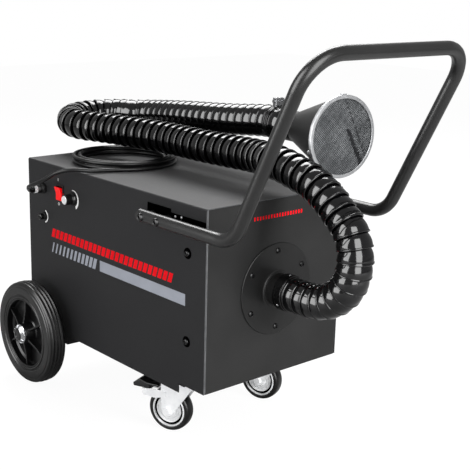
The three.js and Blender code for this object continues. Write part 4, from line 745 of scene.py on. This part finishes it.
# A grey stripe, led in by widening slanted bars, under a row of red ones
def makePrinting():
    (x0, x1), (z0, z1) = printing["stripe"]
    side, front, thick = printing["face"], cabinet["halfLength"] + printing["gap"], printing["thick"]
    stripe = block("bar", (x0, side, z0), (x1, side - thick, z1), 0)
    fixed(joined("side_stripe", [stripe, *slantedBars(printing["grey"])]), greyInk, "grey_plastic")
    fixed(joined("side_bars", slantedBars(printing["red"])), redInk, "red_plastic")
    row = printing["front"]
    small = [block("bar", (front, a, row["low"]), (front + thick, b, row["high"]), 0)
             for a, b in barEnds(row)]
    fixed(joined("front_bars", small), redInk, "red_plastic")


makeTubeShadowStrips()
makePrinting()
print("trim and printing made")


# Handle

handle = {
    "y": 174, "z": 393, "end": 122, "knee": (352.7, 393), "top": (499.6, 685), "radius": 11,
    "kneeBend": 55, "cornerBend": 60, "sides": 32, "boltSunk": 0.6,
    "plug": [(9.2, -6), (9.2, 0), (10.8, 0), (10.9, 1.0), (10.2, 2.1), (7, 2.8), (0.2, 3.0)],
    "bolt": [(3, -34), (3, 0), (7.2, 0), (7.2, 0.8), (6.12, 2.88), (3.4, 3.6), (2.7, 3.24), (2.5, 1.26),
             (0.2, 1.08)],
}


def bentPath(corners, radii, steps=14):
    spots = [Vector(c) for c in corners]
    path = [spots[0]]
    for before, here, after, radius in zip(spots, spots[1:], spots[2:], radii):
        into, out = (here - before).normalized(), (after - here).normalized()
        angle = into.angle(out)
        start = here - into * radius * math.tan(angle / 2)
        inward = (out - into * math.cos(angle)).normalized()
        for i in range(steps + 1):
            turn = angle * i / steps
            path.append(start + into * radius * math.sin(turn) + inward * radius * (1 - math.cos(turn)))
    return path + [spots[-1]]


def makeHandle():
    h = handle
    y, (kneeX, kneeZ), (topX, topZ) = h["y"], h["knee"], h["top"]
    corners = [(h["end"], -y, h["z"]), (kneeX, -y, kneeZ), (topX, -y, topZ), (topX, y, topZ),
               (kneeX, y, kneeZ), (h["end"], y, h["z"])]
    line = bentPath(corners, [h["kneeBend"], h["cornerBend"], h["cornerBend"], h["kneeBend"]])
    bar = asMesh(curveAlong("handle_bar", [place(*p) for p in line], h["radius"], h["sides"]))
    fixed(faceOutwards(bar), tubeCoat, "tube_coat", "handle_tube")
    for side, label in sideNames.items():
        fixed(turnedAt(f"handle_end_{label}", h["plug"], (h["end"], side * y, h["z"]), (-1, 0, 0), 40),
              blackAbs, "black_plastic", f"handle_plug_{label}")


# Black button-head screws go through the tube and its spacers into the cabinet
def makeHandleFixings():
    h = handle
    for i in range(1, 5):
        low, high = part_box(f"handle_bolt_{i}")
        x = (low[0] + high[0]) / 2 / mm - cabinetX
        side = far if low[1] > 0 else near
        at = (x, side * (h["y"] + h["radius"] - h["boltSunk"]), h["z"])
        fixed(turnedAt(f"handle_screw_{i}", h["bolt"], at, (0, side, 0), 28), blackOxide, "bolt_steel",
              f"handle_bolt_{i}")
        refined(f"handle_spacer_{i}", blackAbs, "black_plastic", 0.5)


makeHandle()
makeHandleFixings()
print("handle made")


# Inlet

inlet = {
    "face": 270.3, "disc": 80, "thick": 2, "collar": 31, "collarThick": 3, "neck": 28, "bore": 25.5,
    "end": 306, "screwCircle": 67, "screws": 6, "screwSize": (5.2, 2.6), "cuffStart": 292.3,
}


def makeInlet():
    n = inlet
    t, reach = n["thick"], n["end"] - n["face"]
    neck, disc, collar, top = n["neck"], n["disc"], n["collar"], t + n["collarThick"]
    profile = [
        (n["bore"], -12), (neck, -12), (neck, 0), (disc - 0.8, 0), (disc, 0.5), (disc - 0.1, 1.3),
        (disc - 0.9, t), (collar + 4, t), (collar + 1.4, t + 0.4), (collar, t + 1.4),
        (collar - 0.3, top - 0.5), (collar - 1.2, top), (neck, top), (neck, reach), (n["bore"], reach),
    ]
    flange = turnedAt("inlet_disc", profile, (n["face"], 0, inletHeight), (1, 0, 0), 96, True)
    fixed(flange, hoodCoat, "powder_coat", "inlet_flange")
    half = 180 / n["screws"]
    for i, (y, z) in enumerate(arc((0, inletHeight), n["screwCircle"], half, 360 + half, n["screws"])[:-1]):
        screwHead(f"inlet_screw_{i}", (n["face"] + t, y, z), (1, 0, 0), *n["screwSize"])


cuffShape = [
    (28.3, 0), (30.6, 0), (31.3, 0.6), (31.5, 1.6), (31.5, 4.2), (31.1, 4.8), (31.1, 6.2), (31.5, 6.8),
    (31.5, 17.6), (31.2, 18.8), (30.2, 19.8), (28.6, 20), (21.8, 20), (21.8, 44.5), (19.8, 44.5),
    (19.8, 15), (25.2, 14), (28.3, 14),
]
cuffScrews = {
    "along": 10.5, "angles": (-150, -30, 90), "reach": 31.3,
    "dome": [(2.3, 0), (2.3, 0.4), (1.725, 1.1), (0.2, 1.5)],
}


def makeCuff():
    cuff = turnedAt("inlet_cuff", cuffShape, (inlet["cuffStart"], 0, inletHeight), (1, 0, 0), 72, True)
    fixed(cuff, polishedAbs, "black_plastic", "hose_cuff")
    for i, degrees in enumerate(cuffScrews["angles"]):
        angle = math.radians(degrees)
        out = Vector((0, math.cos(angle), math.sin(angle)))
        spot = Vector((inlet["cuffStart"] + cuffScrews["along"], 0, inletHeight)) + out * cuffScrews["reach"]
        fixed(turnedAt(f"cuff_screw_{i}", cuffScrews["dome"], spot, out, 20), chromePlate, "bolt_steel")


makeInlet()
makeCuff()
print("inlet made")


# Hood

hood = {
    "sides": 96, "meshAt": 148.3, "meshRadius": 67.4, "meshRings": 34, "gauze": 0.25, "pitch": 2.9,
    "wire": 0.3, "wireOut": 0.35, "weave": 0.15, "wireStep": 3, "thinnest": 0.75, "thicker": 0.5,
    "middle": 0.6, "ripple": 0.7, "waves": ((19, 1.3), (15, -0.4)), "clampAt": -27,
    "ears": (-8.5, 0, 8.5), "earFoot": 29, "clampBolt": 39,
    "rivetAt": 137, "rivetTurn": 201, "rivetReach": 64.2, "clipAt": 146.5, "clipHeight": 70,
}
coneShape = [
    (19.8, -25), (21.8, -25), (21.8, -0.2), (26.4, 0), (27, 0.6), (27, 33), (27.5, 36), (28.8, 39.4),
    (66.2, 143), (68, 148), (66.6, 148), (27.2, 39.8), (25.6, 35), (25.6, 2), (19.8, 1.6),
]
rimShape = [
    (68, 145.2), (69.5, 145.3), (70.1, 146), (70.2, 149.6), (69.8, 150.6), (68.8, 151.2), (64.6, 151.3),
    (64, 150.9), (64.1, 150.3), (68.2, 150.1), (68.5, 149.6), (68.3, 146),
]


# Puts a piece modelled about the cabinet's middle at its place on the hood
def onHood(piece, along, across, height):
    piece.matrix_world = Matrix.Translation(-place(0, 0, 0))
    settle(piece)
    turn = Matrix.Rotation(hoodSpot["yaw"], 4, "Z")
    piece.matrix_world = Matrix.Translation(place(*hoodPoint(along, across, height))) @ turn
    return settle(piece)


def makeHood():
    fixed(turnedAt("hood_cone", coneShape, hoodPoint(0), hoodAxis, hood["sides"], True), hoodCoat,
          "powder_coat", "hood")
    rim = turnedAt("hood_band", rimShape, hoodPoint(0), hoodAxis, hood["sides"], True)
    along, turn = hood["rivetAt"], math.radians(hood["rivetTurn"])
    out = hoodSide * math.cos(turn) + Vector((0, 0, math.sin(turn)))
    dome = [(3.6, -1), (3.6, 1), (3.2, 2.2), (1.8, 3), (0.2, 3.2)]
    at = hoodPoint(along) + out * hood["rivetReach"]
    fixed(turnedAt("hood_rivet", dome, at, out, 28), zincSteel, "zinc")
    clip = onHood(block("clip", (-3, -5, -1.4), (3, 5, 1.8), 0.7), hood["clipAt"], 0, hood["clipHeight"])
    fixed(joined("hood_band", [rim, clip]), spunAluminium, "aluminium", "hood_rim")


# The fold's shape; line, band and bandTop say where its painted shade is laid
fold = {
    "way": (0.888, 0.46), "at": 30, "ridge": 2.4, "ridgeWide": 3, "hollow": 2.6, "hollowAt": -11,
    "hollowWide": 6, "line": (-1.2, 0.9), "band": (-17, -8), "bandTop": 12,
}


# How far the mesh stands forward: a sharp ridge with a hollow beside it runs down one side
def meshDepth(u, v):
    p = acrossFold(u, v)
    ridge = fold["ridge"] * math.exp(-(p / fold["ridgeWide"]) ** 2)
    hollow = fold["hollow"] * math.exp(-((p - fold["hollowAt"]) / fold["hollowWide"]) ** 2)
    (longU, shiftU), (longV, shiftV) = hood["waves"]
    ripple = hood["ripple"] * math.sin(u / longU + shiftU) * math.sin(v / longV + shiftV)
    edge = max(0, 1 - (u * u + v * v) / hood["meshRadius"] ** 2) ** 0.4
    return hood["meshAt"] + (ridge - hollow + ripple) * edge


def acrossFold(u, v):
    return fold["way"][0] * u + fold["way"][1] * v - fold["at"]


# The painted crease shade is a thin line at the ridge and a broader band in the hollow's lower half
def inPaintedCreaseShade(face):
    offset = (face.center - place(*hoodPoint(0))) / mm
    u, v = offset.dot(hoodSide), offset.z
    p = acrossFold(u, v)
    lineFrom, lineTo = fold["line"]
    bandFrom, bandTo = fold["band"]
    return lineFrom < p < lineTo or (v < fold["bandTop"] and bandFrom < p < bandTo)


# Crossed wires, laid diagonally over a fine gauze that follows the same folds
def makeHoodMesh():
    radius, pitch = hood["meshRadius"], hood["pitch"]
    rings = [radius * (1 - i / hood["meshRings"]) for i in range(hood["meshRings"])]
    rings.append(hood["middle"])
    sheet = [(r, 0) for r in rings] + [(r, -hood["gauze"]) for r in reversed(rings)]
    gauze = turned("hood_gauze", sheet, 120, True)
    for vertex in gauze.data.vertices:
        v, u, back = (c / mm for c in vertex.co)
        vertex.co = place(*hoodPoint(meshDepth(u, v) + back, u, v))
    faceOutwards(gauze)
    fixed(gauze, steelGauze, "wire", angle=60)
    # Painted shade: the crease faces of the gauze take the darker copy
    paintFaces(gauze, paintedCreaseShadeGauze, inPaintedCreaseShade)
    data = bpy.data.curves.new("hood_wires", "CURVE")
    data.dimensions = "3D"
    count = int(radius / pitch)
    for layer in (-1, 1):
        along = Vector((1, layer)).normalized()
        across = Vector((-along.y, along.x))
        for i in range(-count, count + 1):
            offset = i * pitch
            half = math.sqrt(max(1, radius ** 2 - offset ** 2))
            steps = max(2, round(half / hood["wireStep"]))
            spline = data.splines.new("POLY")
            spline.points.add(steps)
            for j, point in enumerate(spline.points):
                u, v = along * (half * (2 * j / steps - 1)) + across * offset
                forward = meshDepth(u, v) + hood["wireOut"] + layer * hood["weave"]
                point.co = (*place(*hoodPoint(forward, u, v)), 1)
                point.radius = hood["thinnest"] + hood["thicker"] * math.sin(i * 2.4 + layer) ** 2
    data.bevel_depth = hood["wire"] * mm
    data.bevel_resolution = 0
    wires = asMesh(added("hood_wires", data))
    fixed(wires, wovenWire, "wire", "hood_mesh", angle=60)
    # Painted shade: the wires over the crease take the same darker copy
    paintFaces(wires, paintedCreaseShadeGauze, inPaintedCreaseShade)


# Band clamp: a black strip with three beads, and bright ears drawn together by a screw on top
def makeClamp():
    middle = hood["clampAt"]
    band = [(29.2, -5.5), (30.6, -5.5), (30.9, -4.6), (30.4, -3.4), (30.4, -1), (30.9, 0), (30.4, 1),
            (30.4, 3.4), (30.9, 4.6), (30.6, 5.5), (29.2, 5.5)]
    ring = turnedAt("hose_band", band, hoodPoint(middle), hoodAxis, 72, True)
    fixed(ring, blackOxide, "zinc", "hose_clamp")
    ears = [onHood(block("ear", (-4.8, -0.9, -1), (4.8, 0.9, 16), 0.5), middle, across, hood["earFoot"])
            for across in hood["ears"]]
    bolt = [(0.2, -12), (3.4, -12), (3.4, -9.4), (1.6, -9.2), (1.6, 9.2), (3.2, 9.4), (3.2, 12), (0.2, 12.4)]
    ears.append(turnedAt("bolt", bolt, hoodPoint(middle, 0, hood["clampBolt"]), hoodSide, 18))
    fixed(joined("hose_band_ears", ears), chromePlate, "zinc")
    return ring


makeHood()
makeHoodMesh()
hoseBand = makeClamp()
print("hood made")


# Rear wheels

rearWheel = {"y": 198, "sides": 112, "ribs": 4, "ribPitch": 7.4, "depth": 2.6, "crown": 99.9,
             "fall": 0.009, "steps": 6}
rearRim = {
    "outer": 68, "wall": 3, "half": 17, "web": 2, "ribs": 6, "rib": 2,
    "ribEdge": [(19, -16), (40, -14.5), (66, -13), (66, 13), (44, 14), (19, 19)],
}


# The sidewall steps out from the rim to a raised ring, and the tread rolls over rounded ribs
def tyreProfile():
    w = rearWheel
    side = [(68.4, 16.6), (69.4, 17.7), (71.2, 18.1), (72.4, 17.6), (73.2, 16.6), (74.6, 16.4),
            (75.4, 17.2), (76.6, 18), (84, 18.3), (89, 18), (90.6, 17), (91.4, 16.8), (93.4, 17),
            (95.2, 16.4), (96.4, 15.4)]
    half, steps = w["ribs"] * w["ribPitch"] / 2, w["steps"]
    tread = []
    for i in range(w["ribs"] * steps + 1):
        h = half - i * w["ribPitch"] / steps
        hollow = (1 + math.cos(2 * math.pi * i / steps)) / 2
        tread.append((w["crown"] - w["fall"] * h * h - w["depth"] * hollow ** 2, h))
    return side + tread + [(r, -h) for r, h in reversed(side)]


# Copies of a flat outline that is drawn outwards from the axle, set round it
def spokes(outline, count, centre, side, half, soft, steps, first=0):
    drawn = [(centre[0] + u, centre[1] + side * v) for u, v in outline]
    return [turnAbout(plate("spoke", drawn, "xy", centre[2] - half, centre[2] + half, soft, steps), centre,
                      (0, 1, 0), (i + first) * 360 / count) for i in range(count)]


def makeRearWheel(side, label):
    s = rearRim
    body = f"rear_wheel_{label}"
    centre = (rearAxle["x"], side * rearWheel["y"], rearAxle["z"])
    outward = (0, side, 0)
    tyre = turnedAt(f"rear_tyre_tread_{label}", tyreProfile(), centre, outward, rearWheel["sides"], True)
    dress(tyre, body, tyreRubber, "tyre", f"rear_tyre_{label}", angle=28)
    inner, web, half = s["outer"] - s["wall"], s["web"], s["half"]
    profile = [
        (10.6, -40.6), (20.6, -40.6), (21.4, -39.8), (21.9, -4), (24, -web), (inner - 4, -web),
        (inner - 0.6, -5), (inner, -half + 1), (inner + 0.8, -half), (s["outer"], -half), (s["outer"], half),
        (inner + 0.8, half), (inner, half - 1), (inner - 0.6, 5), (inner - 4, web), (24, web), (21.6, 4),
        (19.3, 22.4), (18.6, 23.4), (10.6, 23.4),
    ]
    parts = [turnedAt("rim", profile, centre, outward, 72, True),
             *spokes(s["ribEdge"], s["ribs"], centre, side, s["rib"], 0.9, 2, 0.5)]
    dress(joined(f"rear_rim_moulding_{label}", parts), body, rimPlastic, "black_plastic",
          f"rear_rim_{label}")


hubCap = {
    "start": 221.7, "teeth": 10, "toothHalf": 1.3, "middleOut": 6.8,
    "shell": [
        (10.3, 0), (19, 0), (19, 1.6), (18.4, 2.3), (17.4, 2.5), (16.6, 3.2), (12.6, 6.9), (11.6, 7.5),
        (9.4, 7.5), (8.7, 7.0), (8.2, 5.4), (0.2, 5.2), (0.2, 4.6), (10.3, 4.6),
    ],
    "tooth": [(13, 5.6), (17.6, 2.4), (18.1, 4), (13.8, 7.9)],
    "middle": [(12.4, 0), (12.2, 0.9), (10.4, 1.8), (6.4, 2.1), (5.8, 1.4), (0.2, 1.2)],
}


# Push-on cap: a chromed shell with a ring of pressed teeth round its dark middle
def makeHubCap(side, label):
    c, out = hubCap, (0, side, 0)
    at = (rearAxle["x"], side * c["start"], rearAxle["z"])
    parts = [turnedAt("cap", c["shell"], at, out, 56, True),
             *spokes(c["tooth"], c["teeth"], at, side, c["toothHalf"], 0.25, 1)]
    fixed(joined(f"hub_cap_shell_{label}", parts), chromePlate, "chrome", f"hub_cap_{label}")
    middle = (at[0], side * (c["start"] + c["middleOut"]), at[2])
    fixed(turnedAt(f"hub_cap_middle_{label}", c["middle"], middle, out, 36), polishedAbs, "black_plastic")


for wheelSide, wheelLabel in sideNames.items():
    makeRearWheel(wheelSide, wheelLabel)
    makeHubCap(wheelSide, wheelLabel)
    refined(f"axle_bracket_{wheelLabel}", powderCoat, "powder_coat", 0.5)
print("rear wheels made")


# Castors. Their own places are from the swivel axis, x in the rolling direction

castor = {
    "x": 172, "y": 108, "trail": 33, "radius": 40,
    "swivel": {"near": math.atan2(0.392, 0.92), "far": math.atan2(0.306, 0.952)},
}
castorTyreShape = [(31.6, 11), (33.4, 11.6), (35.2, 11.4), (37.4, 10.4), (39, 8.6), (39.8, 5.8), (40, 2.4)]
castorCoreShape = [
    (31.2, 11.2), (30.6, 11.9), (28.9, 11.9), (28.4, 11.2), (28.2, 7), (24.4, 6.6), (24.1, 9.8), (23.4, 10.2),
    (21.6, 9.4), (21, 8.4), (19.8, 8.2), (19.2, 9), (16.4, 9.6), (15.8, 8.8), (14.6, 8.8), (13.8, 9.8),
    (12, 12.4), (11.4, 12.8), (4.6, 12.8),
]
# Painted shade: a black ring laid in the core's groove, where the deep recess is shaded
castorGrooveShadeShape = [(28.25, 6.9), (28.3, 8.6), (24.3, 8.4), (24.4, 6.7)]


def makeCastorWheel(side, label):
    c, body = castor, f"castor_wheel_{label}"
    turn = c["swivel"][label]
    centre = (c["x"] - c["trail"] * math.cos(turn), side * c["y"] - c["trail"] * math.sin(turn), c["radius"])
    axis = Vector((math.sin(turn), -math.cos(turn), 0))
    tyre = turnedAt(f"castor_tread_{label}", mirrored(castorTyreShape), centre, axis, 72, True)
    dress(tyre, body, tyreRubber, "tyre", f"castor_tyre_{label}")
    core = turnedAt(f"castor_core_{label}", mirrored(castorCoreShape), centre, axis, 64, True)
    dress(core, body, greyNylon, "grey_plastic", body)
    # The painted groove shade goes on both faces of the core
    for i, way in enumerate((1, -1)):
        grooveShade = turnedAt(f"castor_groove_shade_{label}_{i}", castorGrooveShadeShape, centre, axis * way, 48, True)
        dress(grooveShade, body, rubberAndShadeBlack, "black_plastic")


for castorSide, castorLabel in sideNames.items():
    makeCastorWheel(castorSide, castorLabel)
    brake = f"brake_{castorLabel}"
    refined(f"castor_fork_{castorLabel}", zincSteel, "zinc", 0.7, body=f"fork_{castorLabel}")
    refined(f"castor_plate_{castorLabel}", zincSteel, "zinc", 0.5)
    refined(f"brake_lever_{castorLabel}", zincSteel, "zinc", 0.3, body=brake)
    refined(f"brake_pedal_{castorLabel}", blackAbs, "black_plastic", 1.6, 3, brake)
refined("castor_rail", powderCoat, "powder_coat", 0.6)
print("castors made")


# Controls

def turnedOut(name, rings, spot, sides, loop=False, out=0):
    return turnedAt(name, rings, (spot[0], controls["face"] - out, spot[1]), (0, -1, 0), sides, loop)


# A printed arc that may widen from its start to its end
def arcMark(name, spot, inner, outer, grow, start, end):
    outline = arc(spot, inner, start, end, 18) + arc(spot, outer, start, end, 18, grow)[::-1]
    fixed(plate(name, outline, "xz", *controls["ink"], 0), whiteInk, "grey_plastic")


marks = {
    "on": ((-7.2, 22), (-5.9, 27.4)), "offSpot": (-5.6, -21.6), "offOut": 0.02,
    "off": [(1.7, 0), (2.7, 0), (2.7, 0.14), (1.7, 0.14)],
    "knob": (15.2, 16.2, 4.3, 100, -60), "fuse": (10.2, 12.8, 0, 75, -80),
}


def makeMarks():
    (x, z), (low, high) = controls["rocker"], controls["ink"]
    (x0, z0), (x1, z1) = marks["on"]
    on = block("switch_on_mark", (x + x0, low, z + z0), (x + x1, high, z + z1), 0)
    fixed(on, whiteInk, "grey_plastic")
    spot = (x + marks["offSpot"][0], z + marks["offSpot"][1])
    off = turnedOut("switch_off_mark", marks["off"], spot, 28, True, marks["offOut"])
    fixed(off, whiteInk, "grey_plastic")
    arcMark("speed_scale", controls["knob"], *marks["knob"])
    arcMark("fuse_mark", controls["fuse"], *marks["fuse"])


knob = {
    "skirt": [(3.2, 2.4), (11.4, 0.5), (12, 1.1), (12, 2.6), (11.2, 4.2), (10.2, 5.2), (9.7, 6.4), (9.5, 9),
              (8.7, 18.2), (8.3, 18.9), (3.2, 19)],
    "flutes": 20, "fluteCircle": 9.1, "flute": [(0.7, 6), (0.62, 17.6), (0.2, 18.4)],
    "capOut": 18.7, "cap": [(7.9, 0), (8.0, 0.7), (7.4, 1.3), (6.4, 1.35), (6.1, 1.1), (0.2, 1.0)],
    "pointer": ((-10.9, -4.9, -0.5), (-9.3, -16, 0.5)),
}


# Fluted knob on a flared skirt, with a bright turned cap and a pointer line
def makeKnob():
    spot = controls["knob"]
    flutes = arc(spot, knob["fluteCircle"], 0, 360, knob["flutes"])[:-1]
    parts = [turnedOut("knob", knob["skirt"], spot, 60)]
    parts += [turnedOut("flute", knob["flute"], at, 8) for at in flutes]
    dress(joined("knob_grip", parts), "speed_knob", polishedAbs, "gloss_plastic", "speed_knob")
    cap = turnedOut("knob_cap", knob["cap"], spot, 48, out=knob["capOut"])
    dress(cap, "speed_knob", zincSteel, "chrome")
    ends = [(spot[0] + x, controls["face"] + y, spot[1] + z) for x, y, z in knob["pointer"]]
    dress(block("knob_pointer", *ends, 0.2), "speed_knob", whiteInk, "grey_plastic")


gland = {
    "body": [(10.2, 0), (10.5, 0.6), (10.5, 5.4), (9.8, 6.2), (7, 6.2), (7, 0)],
    "nut": [(4.4, 6), (8.7, 6), (8.9, 7), (8.5, 7.6), (8.9, 8.2), (8.5, 8.8), (8.9, 9.4), (8.6, 10),
            (8.8, 12), (8.2, 14.6), (6.9, 17.2), (5.4, 19.2), (4.5, 19.8), (4.4, 19)],
    "ring": [(4.3, 17.4), (7.3, 17.4), (7.4, 21.4), (6.9, 23), (4.3, 23)],
    "sleeveSteps": 8, "sleeveWide": 1.55, "sleeveTaper": 0.42, "sleeveRipple": 0.09,
}


# Black hex body and dome nut with a bright ring, a painted highlight on the nut's end, and a rubber sleeve
# that tapers along the lead
def makeGland():
    g, spot = gland, controls["gland"]
    fixed(turnedOut("gland_body", g["body"], spot, 6, True), blackAbs, "black_plastic")
    fixed(turnedOut("gland_nut", g["nut"], spot, 40, True), blackAbs, "black_plastic", "cable_gland")
    fixed(turnedOut("gland_glint_ring", g["ring"], spot, 36, True), zincSteel, "chrome")
    steps = g["sleeveSteps"]
    sleeve = curveAlong("lead_sleeve", leadPoints[:steps + 1], cordShape["radius"], 20)
    for i, point in enumerate(sleeve.data.splines[0].points):
        point.radius = g["sleeveWide"] - g["sleeveTaper"] * i / steps + g["sleeveRipple"] * (i % 2)
    fixed(asMesh(sleeve), cablePvc, "cord_rubber")


makeMarks()
refined("rocker_bezel", blackAbs, "black_plastic", 0.5)
# Painted glow: the rocker's emission keeps it bright red
refined("rocker", redPolycarbonatePaintedGlow, "red_plastic", 0.8, 3, "rocker")
makeKnob()
refined("fuse_holder", blackAbs, "black_plastic", 0.4)
refined("fuse_cap", polishedAbs, "black_plastic", 0.5, body="fuse_cap")
makeGland()
plug = refined("plug", blackAbs, "black_plastic", 1.2, 3)
print("controls made")


# Floor, light and background

studio = {
    "floorSize": 12, "floorDrop": 0.5, "floorTone": "acacac", "floorGlow": 1.18, "glowShare": 0.8,
    "skyLight": 0.4, "skySeen": 1.0,
}


def makeFloor():
    deselect()
    bpy.ops.mesh.primitive_plane_add(size=studio["floorSize"], location=(0, 0, -studio["floorDrop"] * mm))
    floor = named("studio_floor")
    material, tree = newMaterial("paintedFloor")
    seen = addNode(tree, "ShaderNodeLightPath").outputs["Is Camera Ray"]
    lit = addNode(tree, "ShaderNodeBsdfPrincipled",
                  {"Base Color": hexColour(studio["floorTone"]), "Roughness": 0.7})
    glow = addNode(tree, "ShaderNodeEmission", {"Color": (1, 1, 1, 1), "Strength": studio["floorGlow"]})
    share = addNode(tree, "ShaderNodeMath", {0: seen, 1: studio["glowShare"]}, operation="MULTIPLY")
    mixed = addNode(tree, "ShaderNodeMixShader", {0: share, 1: lit, 2: glow})
    addNode(tree, "ShaderNodeOutputMaterial", {"Surface": mixed})
    floor.data.materials.append(material)


def makeWorld():
    world = bpy.data.worlds.new("studio")
    bpy.context.scene.world = world
    world.use_nodes = True
    tree = world.node_tree
    tree.nodes.clear()
    seen = addNode(tree, "ShaderNodeLightPath").outputs["Is Camera Ray"]
    strength = addNode(tree, "ShaderNodeMapRange",
                       {"To Min": studio["skyLight"], "To Max": studio["skySeen"], "Value": seen})
    back = addNode(tree, "ShaderNodeBackground", {"Color": (1, 1, 1, 1), "Strength": strength})
    addNode(tree, "ShaderNodeOutputWorld", {"Surface": back})


# The two softboxes, left and right, show only in reflections, where they draw the hose's broad
# highlights. The key and the fill light the faces and leave no reflection
lamps = {
    "top": {"at": (-1378, 1097, 2335), "aim": (0, 0, 400), "size": (1900, 1500), "power": 80},
    "key": {"at": (2600, 500, 1000), "aim": (200, 0, 270), "size": (900, 900), "power": 78,
            "hidden": "glossy"},
    "fill": {"at": (900, -2100, 420), "aim": (0, 0, 250), "size": (1200, 800), "power": 18,
             "hidden": "glossy"},
    "left": {"at": (-333, -2124, 1050), "aim": (400, 0, 380), "size": (1650, 2400), "power": 100,
             "hidden": "diffuse"},
    "right": {"at": (2480, -980, 1250), "aim": (400, 0, 380), "size": (1650, 2900), "power": 128,
              "hidden": "diffuse"},
}


def makeLamps():
    for name, lamp in lamps.items():
        data = bpy.data.lights.new(name, "AREA")
        data.shape = "RECTANGLE"
        data.size, data.size_y = (side * mm for side in lamp["size"])
        data.energy = lamp["power"]
        piece = added(name + "Lamp", data)
        piece.visible_diffuse = lamp.get("hidden") != "diffuse"
        piece.visible_glossy = lamp.get("hidden") != "glossy"
        spot, goal = place(*lamp["at"]), place(*lamp["aim"])
        turn = (goal - spot).to_track_quat("-Z", "Y").to_matrix().to_4x4()
        piece.matrix_world = Matrix.Translation(spot) @ turn


makeFloor()
makeWorld()
makeLamps()
bpy.context.scene.view_settings.view_transform = "Standard"
print("stage lit")
